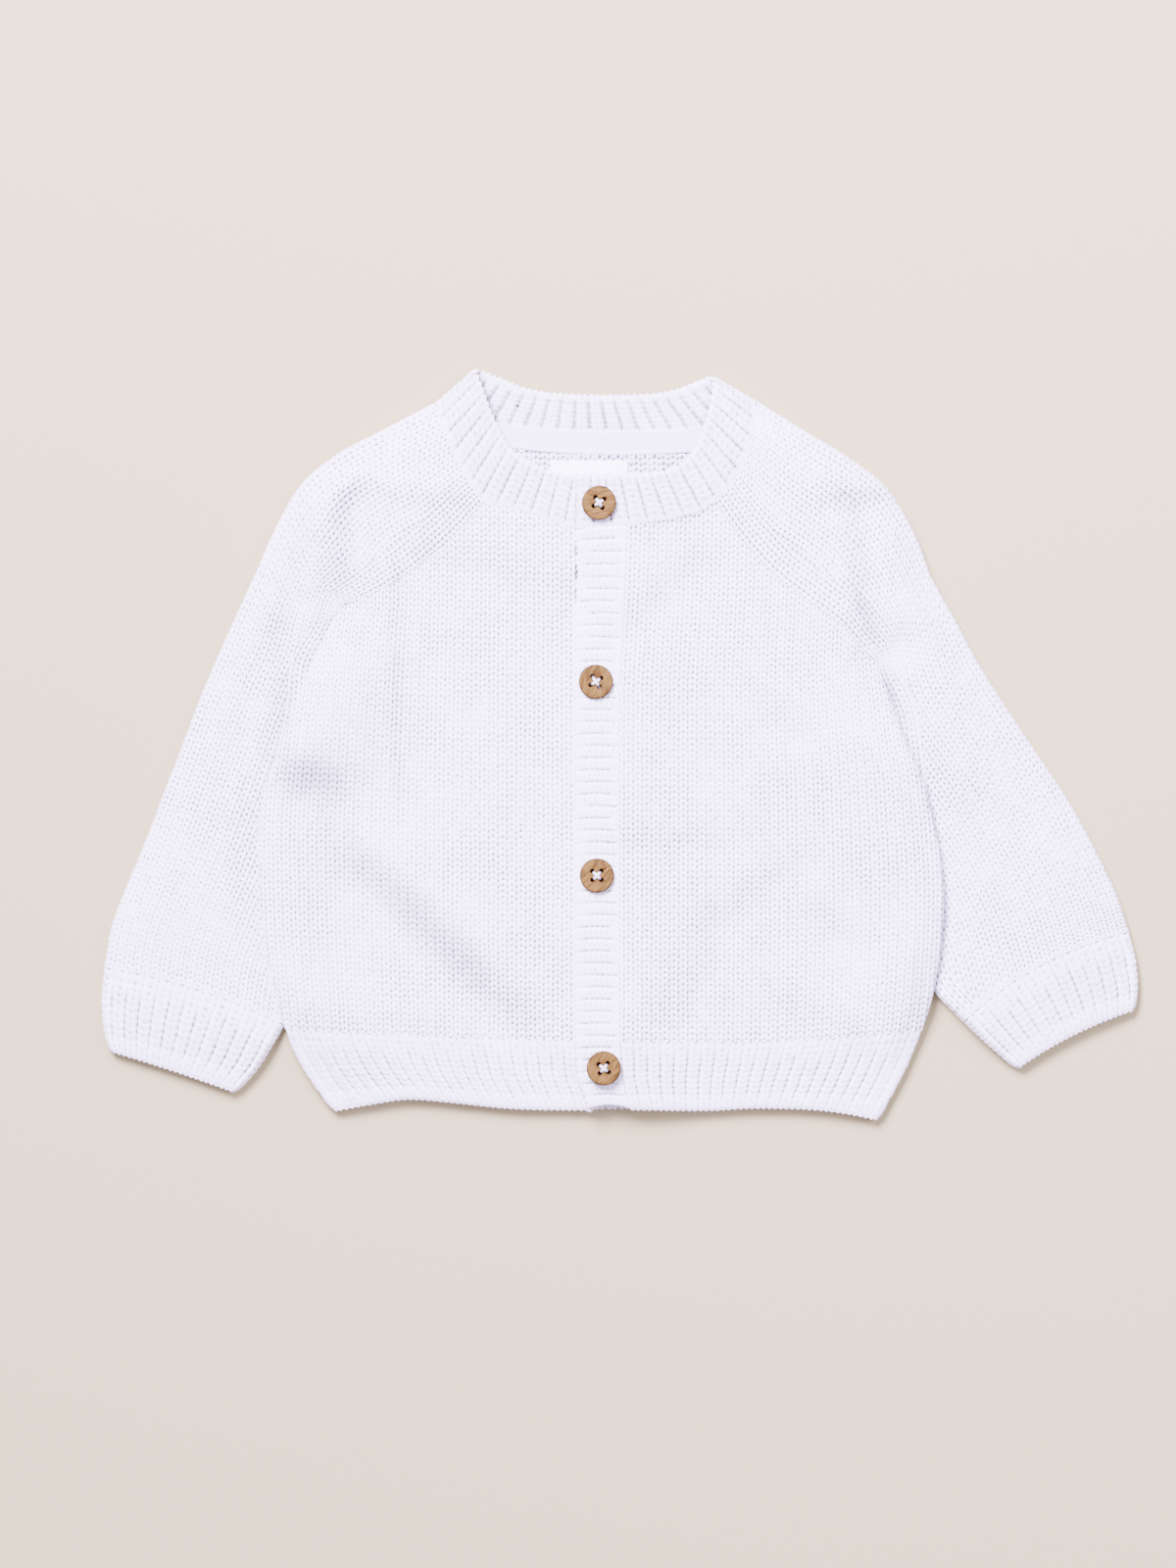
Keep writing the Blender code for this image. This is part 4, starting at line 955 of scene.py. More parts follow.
def makeSleeve(side):
    dense, along = denseSections(sleeveSections(side))
    length, underarm = along[-1], curves[side]["body"][0]
    courses = int(round(length / cloth["course"]))
    halves = [halfLength(dense, True), halfLength(dense, False)]
    pitch = np.clip(halves[0] / sleeves["capWales"], sleeves["narrowest"], sleeves["widest"])
    cap = along[(len(outlines[side]["shoulder"]) - 1) * sleeves["capSteps"] * denseSteps]
    start, run = sleeves["capEnd"]
    pitch = mix(pitch, cloth["wale"], smoothStep((along - cap - start) / run))
    wales = [int(np.ceil((half / pitch).max())) for half in halves]
    last = wales[0] - sleeves["seamWales"]
    parts = []
    for kind, span in ((plainKnit, (-2, wales[0])), (underKnit, (-wales[1] - 1, -2))):
        u, free, relief, shade = knit(kind, span, (-1, courses + 1), down=True)
        v = np.clip(free, 0, courses)
        places = v / courses * length
        section = sectionAt(dense, along, places)
        width = np.interp(places, along, pitch)
        # the last wales run beside the seam, and those before them end against them
        a, limit = u * width, wayRound(section, u * width)
        turn = limit - sleeves["seamWales"] * width
        inside = np.where(u > last, a >= 0, np.abs(a) < np.where(a >= 0, turn, limit))
        inside &= (free > -0.4) & (free < courses + 0.4)
        beside = np.minimum(np.minimum(u, last) * width, turn) + np.maximum(u - last, 0) * width
        a = np.where(a < 0, a, beside)
        points, normal, left = tubeSurface(section, a, side, curves[side]["neckSleeve"][::-1])
        atRaglan = (places < cap + 3) & (a > 0)
        fromEnd = np.minimum(places, length - places + 3)
        sink = np.where(atRaglan, left, np.inf)
        dip = fronts["seamDepth"] * (bell(sink, fronts["seamWidth"]) + bell(fromEnd, fronts["seamWidth"]))
        least, reach = sleeves["beforeCuff"]
        atCuff = mix(least, 1.0, smoothStep((length - places) / reach))
        relief = relief * besideSeam(fromEnd) * besideSeam(left, 0.3)
        points = raised(points, normal, relief * atCuff - dip)
        x, y = points[..., 0], points[..., 1]
        shade = mottled(shade, x, y, sleeves["mottleSize"], (11, 13)) * atCuff
        # painted shade on the sleeve against the body's edge below the underarm, and in the tight folds
        below = (underarm[1] + sleeves["contactStart"] - y) / sleeves["contactLength"]
        near = bell(nearestOn(curves[side]["body"], points[..., :2])[1], sleeves["contactWidth"])
        paintedContactShade = sleeves["paintedContactShade"] * near * (below > 0) * (1 - smoothStep(below))
        shade = shade + (foldsAt(paintedFoldShade, x, y, lie["foldShadeTaper"]) + paintedContactShade) * (a > 0)
        # more painted shade in the holes beside the raglan seam
        holes = atRaglan & (left < sleeves["seamRows"] * cloth["wale"])
        atSeam = bell(left, sleeves["seamHoleWidth"]) * smoothStep((cap - places) / sleeves["seamHoleEnd"])
        shade = shade * np.where(holes, sleeves["rowHoles"] + sleeves["seamHoles"] * atSeam, 1.0)
        # less painted shade on the crowded stitches round the underarm
        fromArmpit = np.hypot(x - underarm[0], y - underarm[1])
        shade = shade * (1 - sleeves["calm"] * bell(fromArmpit, sleeves["calmReach"]))
        parts.append(gridPart(points, u, v, shade, inside))
    piece = makePiece(f"sleeve_{side}", parts, cotton, [f"sleeve_{side}"])
    around = 2 * float(max(half.max() for half in halves))
    return piece, around, float(length), float(length * (halves[0].mean() + halves[1].mean()))


for sideName in outlines:
    sheet, wide, long, area = makeSleeve(sideName)
print("sleeves ready")


# ribbed edges: closed bands with an outer face, a rounded free edge and an inner face

ribbing = {
    "cuffRibs": 13,  # on each half
    "hemRibs": 22,  # on each front
    "courses": 12,
    "plain": 2.0,  # courses before the free edge where the grooves have faded
    "edgeRound": 0.7,  # how far the rounded edge stands past the last row
    "edgeRelief": 0.45,  # share of the last row's relief that it keeps
    "edgeRows": (0.32, 0.68),  # its two rows, as shares of the thickness
    "edgeShade": 0.6,
    "edgeDrop": 0.8,
    "edgeSpan": 0.8,  # courses over which it drops
    "endDrop": 0.5,
    "beads": 0.40,  # how far the last stitches stand out along a free edge
    "beadShade": 0.22,  # of the gaps between them
    "firstRow": 0.04,
    "inside": 2.2,
    "fade": (0.75, 0.7, 1.4),  # how much, how early and over how many courses the grooves fade
    "holes": (0.5, 0.6, 0.4),  # shade, place and width of the row of small holes
    "hemShade": 0.92,  # share of the stitches' shade on the front hems
    "stretched": (3.0, 14.0, 0.35),  # the outermost ribs: start, run and share of their relief
}
ribStart = {
    "courses": 3.0,  # the ribs grow out of the plain knit over these
    "ragged": 2.0,
    "relief": 0.60 * np.array(plainKnit["relief"]),
    "shade": 0.52 * np.array(plainKnit["shade"]),
}


def ribField(kind, first, last, courses, growFrom=None):
    u, v, relief, shade = knit(kind, (first, last), (0, courses), down=True, fadeEnds=True,
                               growFrom=growFrom)
    u, v = np.clip(u, first, last), np.clip(v, 0, courses)
    u[:, 0], u[:, -1] = first, last
    return u, v, relief, shade


def closedBand(name, base, normal, relief, shade, u, v, capped=True, inside=None):
    # base is the outer face without relief, rows from the seam to the free edge
    columns, thick = base.shape[1], ribbing["inside"]
    drop = ribbing["edgeDrop"] * np.clip(1 - (v[-1] - v) / ribbing["edgeSpan"], 0, 1) ** 2
    relief = relief - drop
    insideRelief, insideShade = (inside[0] - drop, inside[1]) if inside else (0 * relief, shade)
    if capped:
        for column in (0, -1):
            relief[:, column] -= ribbing["endDrop"]
            insideRelief[:, column] -= ribbing["endDrop"]
    outer, inner = raised(base, normal, relief), raised(base, -normal, thick + insideRelief)
    # a narrow first row keeps the shading even up to the seam
    outer, inner = (np.concatenate([face[:1] + ribbing["firstRow"] * (face[:1] - face[1:2]), face])
                    for face in (outer, inner))
    uv = stitchUv(u, v)
    shade, insideShade, uv = (np.concatenate([rows[:1], rows]) for rows in (shade, insideShade, uv))
    beads = -np.cos(4 * math.pi * u[-1])  # two stitches to a rib
    out = unit(base[-1] - base[-4])
    reach = ribbing["edgeRound"] + ribbing["edgeRelief"] * relief[-1] + ribbing["beads"] * beads
    edge = [raised(base[-1] - normal[-1] * thick * share, out, reach) for share in ribbing["edgeRows"]]
    loop = np.concatenate([outer, edge, inner[::-1]])
    faces = [gridQuads(len(loop), columns, wrap=True)]
    edgeShade = ribbing["edgeShade"] * shade[-1:] + ribbing["beadShade"] * np.clip(-beads, 0, 1)
    shades = np.concatenate([shade, edgeShade, edgeShade, insideShade[::-1]])
    uvs = np.concatenate([uv, uv[-1:], uv[-1:], uv[::-1]])
    if capped:
        index = np.arange(len(loop) * columns).reshape(len(loop), columns)
        half = len(loop) // 2
        for column in (0, columns - 1):
            a, b = index[:half, column], index[::-1][:half, column]
            faces.append(stack(a[:-1], a[1:], b[1:], b[:-1]))
    return makePiece(name, [(loop, np.vstack(faces), uvs, shades)], cotton, [name])


def ribRise(v):
    return smoothStep((v - 0.6) / ribStart["courses"])


def towardsEdge(u, v, courses, plain):
    # grooves fade before the free edge, where a row of small holes shows
    most, early, run = ribbing["fade"]
    fade = 1 - most * smoothStep((v - courses + plain + early) / run)
    dark, place, width = ribbing["holes"]
    row = bell(v - courses + place * plain, width)
    return fade, dark * row * smoothStep((np.cos(4 * math.pi * u) - 0.3) / 0.6)


def coons(bottom, top, first, last, u, v):
    # a patch between four lines
    low, high, start, end = pointsAt(bottom, u), pointsAt(top, u), pointsAt(first, v), pointsAt(last, v)
    u, v = u[..., None], v[..., None]
    corners = (1 - u) * mix(bottom[0], top[0], v) + u * mix(bottom[-1], top[-1], v)
    return (1 - v) * low + v * high + (1 - u) * start + u * end - corners


def makeCuff(side):
    dense, along = denseSections(cuffSections(side))
    ribs, courses = ribbing["cuffRibs"], ribbing["courses"]
    u, v, relief, shade = ribField(ribKnit, -ribs, ribs, courses, ribStart)
    section = sectionAt(dense, along, v / courses * along[-1])
    points, normal = tubeSurface(section, u / ribs * wayRound(section, u), side)[:2]
    fade, holes = towardsEdge(u, v, courses, ribbing["plain"])
    relief = relief * fade + cloth["rib"] * smoothStep(normal[..., 2] * 2 + 0.5) * ribRise(v)
    piece = closedBand(f"cuff_{side}", points, normal, relief, shade * fade + holes, u, v, capped=False)
    around = float(halfLength(dense, True).mean() + halfLength(dense, False).mean())
    return piece, around, float(along[-1])


def makeHemFront(side):
    top, edge = curves[side]["hemTop"].copy(), curves[side]["hemEdge"].copy()
    bandY = np.linspace(top[-1, 1], edge[-1, 1], 12)
    last = stack(frontStart(side, bandY), bandY)
    top[-1], edge[-1] = last[0], last[-1]
    ribs, courses = ribbing["hemRibs"], ribbing["courses"]
    u, v, relief, shade = ribField(ribKnit, 0, ribs, courses, ribStart)
    plan = coons(top, edge, curves[side]["hemSide"], last, u / ribs, v / courses)
    points, normal = bodySurface(plan, side, last)[:2]
    start, run, least = ribbing["stretched"]
    fromSide = np.linalg.norm(plan - plan[:, :1], axis=-1)
    faint = mix(least, 1.0, np.clip(smoothStep((fromSide - start) / run) + (1 - ribRise(v)), 0, 1))
    fade, holes = towardsEdge(u, v, courses, ribbing["plain"])
    relief = (relief * fade + cloth["rib"] * ribRise(v)) * faint
    shade = ribbing["hemShade"] * shade * faint * fade + holes
    piece = closedBand(f"hem_front_{side}", points, normal, relief, shade, u, v)
    return piece, lineLength(top), lineLength(last)


for sideName in outlines:
    sheet, wide, long = makeCuff(sideName)
    sheet, wide, long = makeHemFront(sideName)
print("cuffs and front hems ready")


# the lower layer: the back with its hem, and its inside where it shows in the neck

back = {
    "neckSeam": [(-71.6, 130.6), (-58.1, 126.4), (-46.1, 122.6), (-22.5, 120.0), (3.8, 119.3),
                 (31.5, 121.0), (42.0, 125.8), (53.2, 131.2)],
    "middle": -8.0,
    "bottom": -115.0,
    "wales": 39,  # on each half
    "courses": 108,
    "edgeRelief": -0.4,
    "inside": (-50.0, 42.0, 85.0, 122.0),  # least and most x and y of the inside that shows
    "insideLevel": 2.45,
    "hemRibs": 44,
}


def underSurface(plan):
    # points and ways out of the lower layer, which turns up at the sides to meet the front
    z, slope = levelAt("under", plan)
    feet, distances = zip(*(nearestOn(lines["body"], plan) for lines in curves.values()))
    closer = (distances[0] < distances[1])[..., None]
    foot, distance = np.where(closer, feet[0], feet[1]), np.minimum(*distances)
    rise, lean = edgeRoll(plan, foot, distance, cloth["thickness"] + cloth["layerGap"] / 2)
    normal = withHeight(slope - lean, -np.ones_like(z))
    sideways = stack(np.sign(plan[..., 0] - back["middle"]), 0 * z, 0 * z - 0.15)
    normal = np.where((distance < fronts["atEdge"])[..., None], sideways, normal)
    return withHeight(plan, z + rise), unit(normal)


def bothSides(name):
    return np.vstack([curves["right"][name], curves["left"][name][::-1]])


def makeBack():
    right, left = curves["right"], curves["left"]
    outline = joinLines(bothSides("hemTop"), left["side"][::-1], left["raglanBack"],
                        curveThrough(back["neckSeam"][1:-1])[::-1],
                        right["raglanBack"][::-1], right["side"])[:-1]
    u, v, relief, shade = knit(underKnit, (-back["wales"], back["wales"]), (0, back["courses"]))
    plan = stack(back["middle"] + u * cloth["wale"], back["bottom"] + v * cloth["course"])
    inside, plan = trimTo(outline, plan)
    points, normal = underSurface(plan)
    points = raised(points, normal, np.where(inside, relief, back["edgeRelief"]))
    outside = gridPart(points, u, v, shade, inside)
    x0, x1, y0, y1 = back["inside"]
    wales, courses = int((x1 - x0) / cloth["wale"]), int((y1 - y0) / cloth["course"])
    u, v, relief, shade = knit(purlKnit, (0, wales), (0, courses), uneven=0.12)
    points = stack(x0 + u * cloth["wale"], y0 + v * cloth["course"], back["insideLevel"] + relief)
    seen = gridPart(points, u, v, shade)
    piece = makePiece("back", [outside, seen], cotton, ["back"], facing=[(0, 0, -1), (0, 0, 1)])
    return piece, outline


def makeHemBack():
    ribs, courses = back["hemRibs"], ribbing["courses"]
    u, v, relief, shade = ribField(ribKnit, 0, ribs, courses, ribStart)
    top, first, last = bothSides("hemTop"), curves["right"]["hemSide"], curves["left"]["hemSide"]
    points, normal = underSurface(coons(top, bothSides("hemEdge"), first, last, u / ribs, v / courses))
    piece = closedBand("hem_back", points, normal, relief, shade, u, v)
    return piece, lineLength(top), lineLength(first)


backSheet, backLine = makeBack()
sheet, wide, long = makeHemBack()
print("back ready")


# neckband: one strip from its lower end at the bands, round the back, to its upper end

neckband = {
    "frontRibs": 14,
    "backRibs": 20,
    "courses": 8,
    "width": 20.0,
    "plain": 1.4,
    "backFree": [(-55.9, 144.4), (-46.5, 140.6), (-36.0, 136.4), (-22.5, 134.4), (-6.0, 133.9),
                 (11.2, 134.3), (21.4, 136.1), (29.5, 139.2), (35.6, 141.6)],
    "lowerEnd": -1.2,  # x where the lower end stops, under the upper end
    "turn": 1.3,  # radius of the middle of the cloth at the shoulder folds
    "begin": 1.3,  # courses over which the ribs begin at the seam
    "seamRelief": 0.2,
    "seamShade": 0.3,
    "seamSink": 0.2,
    "shade": 0.16,  # added all over the outer face
    "insideShade": (0.85, 0.17),  # the most that the stitches give on the inside, and what is added
    "behind": {"right": 0.6, "left": 0.30},  # painted shadow on the back half beside the front one's edge
    "behindWidth": 1.6,
}
neckRibs = 2 * neckband["frontRibs"] + neckband["backRibs"] + 2


def neckFold(side):
    # the two ends of a shoulder fold, and the way out of it
    line = curves[side]["shoulderFold"]
    out = unit(np.array([line[1, 1] - line[0, 1], line[0, 0] - line[1, 0]]))
    out = out if out[1] > 0 else -out
    return line - out * cloth["foldRadius"], out


def neckLines(side):
    # seam and free edge of one front part, from the bands to the shoulder
    rows, lines = outlines[side], curves[side]
    endX = neckband["lowerEnd"] if side == "right" else bandTable[-1, 1]
    seam = joinLines(curveThrough([(endX, bands["top"] + 0.3), rows["neckFront"][0]]),
                     lines["neckFront"], lines["neckSleeve"])
    free = curveThrough([(endX, rows["neckFree"][0][1])] + rows["neckFree"][0 if side == "right" else 1:])
    seam[-1], free[-1] = neckFold(side)[0]
    return seam, free


def strip(seam, free, share, t):
    return mix(pointsAt(seam, share), pointsAt(free, share), t[..., None])


def neckSurface(u, t):
    # middle of the cloth and way out of it, u in ribs round the neck and t from the seam to the edge
    front, half = neckband["frontRibs"], cloth["thickness"] / 2
    mid = cloth["thickness"] + cloth["layerGap"] / 2
    points, normals = np.zeros((*u.shape, 3)), np.zeros((*u.shape, 3))
    seam, free = curveThrough(back["neckSeam"]), curveThrough(neckband["backFree"])
    for side, along, k in (("right", u, 0), ("left", neckRibs - u, -1)):
        mine = u <= neckRibs / 2 if side == "right" else u > neckRibs / 2
        (seam[k], free[k]), out = neckFold(side)
        plan = strip(*neckLines(side), np.clip(along / front, 0, 1), t)
        level, slope = bodyLevel(side, plan)
        angle = math.pi * (0.5 - np.clip(along - front, 0, 1))
        sine = np.sin(angle)
        z = mid + np.where(sine > 0, level - half - mid, mid - half) * sine
        flat = out * np.cos(angle)[..., None]
        tilt = withHeight(flat - slope * (along <= front)[..., None], sine)
        mask = ((along <= front + 1) & mine)[..., None]
        points = np.where(mask, withHeight(plan + flat * neckband["turn"], z), points)
        normals = np.where(mask, tilt, normals)
    plan = strip(seam, free, np.clip((u - front - 1) / neckband["backRibs"], 0, 1), t)
    mask = ((u > front + 1) & (u < neckRibs - front - 1))[..., None]
    points = np.where(mask, withHeight(plan, np.full(u.shape, half)), points)
    return points, unit(np.where(mask, (0.0, 0.0, -1.0), normals))


def makeNeckband():
    courses = neckband["courses"]
    u, v, relief, shade = ribField(ribKnit, 0, neckRibs, courses)
    middle, normal = neckSurface(u, v / courses)
    base = middle + normal * cloth["thickness"] / 2
    proud = cloth["rib"] * smoothStep(normal[..., 2] * 2 + 0.5)
    grooves, holes = towardsEdge(u, v, courses, neckband["plain"])
    begins = smoothStep(v / neckband["begin"])
    # the inside's ribs lie between those of the outside
    inner = np.roll(relief, 3, axis=1) * grooves + cloth["rib"] - proud
    most, least = neckband["insideShade"]
    insideShade = np.minimum(np.roll(shade, 3, axis=1), most) * grooves + least
    # painted shadow of the front halves' free edges on the inside of the back half
    behind = sum(dark * bell(nearestOn(neckLines(side)[1], base[..., :2])[1], neckband["behindWidth"])
                 for side, dark in neckband["behind"].items())
    insideShade = insideShade + np.where(normal[..., 2] < -0.5, behind, 0)
    relief = relief * grooves * mix(neckband["seamRelief"], 1.0, begins) + proud * begins
    relief = relief - neckband["seamSink"] * (1 - begins)
    shade = shade * grooves * mix(neckband["seamShade"], 1.0, begins) + holes + neckband["shade"]
    piece = closedBand("neckband", base, normal, relief, shade, u, v, inside=(inner, insideShade))
    seams = [neckLines(side)[0] for side in outlines] + [curveThrough(back["neckSeam"])]
    return piece, sum(lineLength(seam) for seam in seams), neckband["width"]


# front bands: the upper one with the buttons on it, and the lower one under it

def gapeAt(y):
    # two places where the upper band stands off
    start, length = bands["gapeWave"]
    waves = 0.65 + 0.35 * np.cos((y - bands["gapeAt"] - start) * 2 * math.pi / length)
    return bell(y - bands["gapeAt"], bands["gapeLength"]) * waves


def makeBand(name, upper):
    ribs, courses = bands["ribs"], bands["courses"]
    u, v, relief, shade = ribField(ribKnit if upper else underRib, 0, ribs, courses)
    t, share = v / courses, u / ribs
    y = bands["top"] + share * (bands["bottom"] - bands["top"])
    freeX, sewnX = bandEdges(y)
    if upper:
        last = smoothStep((share - (1 - bands["bottomShare"])) / bands["bottomShare"])
        y = y + 4 * t * (1 - t) * (bands["bow"] + bands["bottomBow"] * last)
        y = y + bands["topRise"] * (1 - t) * np.clip(1 - 12 * share, 0, 1)
        step, gape = bands["step"], gapeAt(y)
    else:
        freeX, sewnX = freeX + 0.3, sewnX - bands["underlap"]
        y = y + smoothStep((share - 0.9) / 0.1) * (1.4 * (1 - t**3) - bands["corner"] * t**5)
        step, gape = 0.0, 0.0
    x = sewnX + (freeX - sewnX) * t + bands["gape"] * gape * t**3
    level, slope = levelAt("body", stack(x, y))
    base = stack(x, y, level + step + bands["gapeHeight"] * gape * t**3)
    normal = unit(withHeight(-slope, np.ones_like(x)))
    ragged = bands["ragged"] * (perStitch(u, 0 * v, 8) - 0.5)
    start, run = bands["grooveStart"]
    grooves = smoothStep((t - start + ragged) / run)
    start, run, most, rough = bands["grooveEnd"]
    grooves = grooves * (1 - most * smoothStep((t - start + rough * ragged) / run))
    depth = bands["grooves"] * mix(bands["leastGroove"], 1.0, grooves)
    relief = relief * depth + bands["proud"] * smoothStep(v / bands["seamRun"])
    shade = shade * depth + bands["shade"]
    # under the upper band's gaping edge, the lower band sinks and gets painted shade
    if not upper:
        gape = gapeAt(y) * t**2
        relief, shade = relief - bands["gapeSink"] * gape, shade + gape
    piece = closedBand(name, base, normal, relief, shade, u, v)
    return piece, float(np.abs(sewnX - freeX).mean()), bands["top"] - bands["bottom"]


underRib = {
    "columns": [0.0, 0.3, 0.5, 0.7],
    "rows": [0.0],
    "slant": 0.5,
    "relief": [[-1.40, -0.18, -0.36, -0.18]],
    "shade": [[0.85, 0.05, 0.20, 0.05]],
}
sheet, wide, long = makeNeckband()
sheet, wide, long = makeBand("button_band", upper=False)
sheet, wide, long = makeBand("buttonhole_band", upper=True)
print("neckband and bands ready")


# tape over the neck seam, and the bare label under it

tape = {
    "ends": (-49.5, 39.0),
    "width": 9.2,
    "seamGap": -0.8,
    "low": 2.05,
    "thick": 0.4,
    "colour": (0.74, 0.66, 0.79),
    "stitch": 1.7,  # from one linking stitch to the next
    "stitchHeight": 0.28,
    "stitchLine": 0.91,  # share of the width
    "stitchWidth": 0.5,
}
label = {
    "x": (-27.0, 3.0),
    "y": (94.5, 108.8),
    "low": 2.4,
    "thick": 0.7,
    "colour": (1.0, 0.985, 1.0),
    "wave": 0.2,
    "waveLength": 7.0,
    "waveStart": 4.0,  # flat at the sewn edge, and in full waves this far from it
}


def flatPiece(name, plan, sizes, bumps, material):
    low, thick = sizes["low"], sizes["thick"]
    rows, columns = plan.shape[:2]
    index = np.arange(rows * columns).reshape(rows, columns)
    ring = np.concatenate([index[0], index[1:, -1], index[-1, -2::-1], index[-2:0:-1, 0]])
    distance = nearestOn(closeLine(plan.reshape(-1, 2)[ring]), plan)[1]
    top = low + thick - 0.45 * thick * (1 - smoothStep(distance / 0.5)) + bumps
    points = np.stack([withHeight(plan, top), withHeight(plan, np.full_like(top, low))])
    walls = stack(ring, np.roll(ring, -1), np.roll(ring, -1) + index.size, ring + index.size)
    quads = gridQuads(rows, columns)
    faces = np.vstack([quads, quads[:, ::-1] + index.size, walls])
    uv, shade = stitchUv(points[..., 0], points[..., 1]), np.zeros(points.shape[:-1])
    return makePiece(name, [(points, faces, uv, shade)], material, [name])


def makeTape():
    line = curveThrough(back["neckSeam"])
    x = np.linspace(*tape["ends"], 240)
    share = np.linspace(0, 1, 20)[:, None]
    y = np.interp(x, line[:, 0], line[:, 1]) - tape["seamGap"] - share * tape["width"]
    beat = np.abs(np.sin(math.pi * x / tape["stitch"]))
    fromLine = (share - tape["stitchLine"]) * tape["width"]
    bumps = tape["stitchHeight"] * beat * bell(fromLine, tape["stitchWidth"])
    fine = fineCotton("neck tape", tape["colour"], 3.6, 0.85, 0.2)
    return flatPiece("neck_tape", stack(np.broadcast_to(x, y.shape), y), tape, bumps, fine)


def makeLabel():
    x, y = np.meshgrid(np.linspace(*label["x"], 60), np.linspace(*label["y"], 30))
    waves = label["wave"] * np.sin((x - label["x"][0]) / label["waveLength"])
    waves = waves * smoothStep((label["y"][1] - y) / label["waveStart"])
    satin = fineCotton("label satin", label["colour"], 7.0, 0.55, 0.1)
    piece = flatPiece("label", stack(x, y), label, waves, satin)
    return piece, label["x"][1] - label["x"][0], label["y"][1] - label["y"][0]


sheet, wide, long = makeLabel()
size = np.ptp(backLine, axis=0) * mm  # size of the back's outline
polygonArea(backLine) * mm * mm
makeTape()
print("tape and label ready")


# buttons and their threads

buttons = {
    "radius": 6.55,
    "thick": 2.7,
    "edge": 0.8,
    "dish": 3.9,
    "dishDepth": 0.12,
    "crown": 0.12,  # how far the rim curves down on both sides
    "sides": 96,
    "under": [(6.45, 0.7), (6.25, 0.3), (5.65, 0.0), (0.0, 0.0)],  # radius and height below the edge
    "rimShade": (0.5, 0.75, 0.6),  # strength, start inside the edge, and run
    "hole": 0.80,
    "holeDepth": 1.9,
    "holeSlope": (0.22, 0.3),  # start inside the hole's edge, and run
    "holeShade": 0.25,  # run of the dark round the hole
    "pitch": 1.67,
    # x, y, turn of the holes, way of the grain
    "places": [(-8.2, 92.2, -12, 10), (-9.4, 24.0, -12, 75), (-9.0, -49.9, 1, 40), (-6.4, -123.4, 7, 55)],
    "wood": (0.134, 0.076, 0.0175),
    "woodGrainAndShade": (0.044, 0.019, 0.0035),
    "woodLooks": {"Roughness": 0.6, "Specular IOR Level": 0.06},
    "grain": (2.2, 9.5, 1.0),
    "grainShift": 40,  # each button has another part of the grain
    "grainLines": (0.45, 0.62, 0.0, 0.7),  # from, to, least and most dark
    "streaks": (0.54, 0.68, 0.0, 0.95),
    "thread": (0.80, 0.76, 0.80),
    "threadDark": (0.50, 0.47, 0.50),
    "strand": 0.23,
    "strandGap": 1.7,  # from one strand to the next, in radii
    "strandLift": 0.45,
    "strandDip": 1.2,  # how far the ends go down into the holes
    "knot": 0.42,
    "knotLift": 1.9,  # times the strands' own
    "reach": 0.80,  # share of the way to the holes' middles where the strands go down
}


def drawWood(tree):
    inputs = {"Vector": stitchPlace(tree), "Scale": buttons["grain"]}
    place = addNode(tree, "ShaderNodeMapping", inputs)["Vector"]
    grain = addNoise(tree, place, 1.0, 5.0, Distortion=0.4)
    streak = addRange(tree, addNoise(tree, place, 0.45, 2.0, Distortion=0.8), *buttons["streaks"])
    most = addMath(tree, "MAXIMUM", streak, addRange(tree, grain, *buttons["grainLines"]))
    # the darker wood colour shows the grain and streaks, and the painted shade at the rim and round the
    # holes
    return addMath(tree, "ADD", most, meshShade(tree), clamp=True), grain


def drawThread(tree):
    ply = addWave(tree, stitchPlace(tree), "DIAGONAL", Scale=2.2)
    return ply, ply


wood = newMaterial("button wood", buttons["wood"], buttons["woodGrainAndShade"], (0.25, 0.1),
                   buttons["woodLooks"], drawWood)
thread = newMaterial("button thread", buttons["threadDark"], buttons["thread"], (0.5, 0.1),
                     {"Roughness": 0.7}, drawThread)


def turned(x, y, degrees):
    angle = math.radians(degrees)
    return x * math.cos(angle) - y * math.sin(angle), x * math.sin(angle) + y * math.cos(angle)


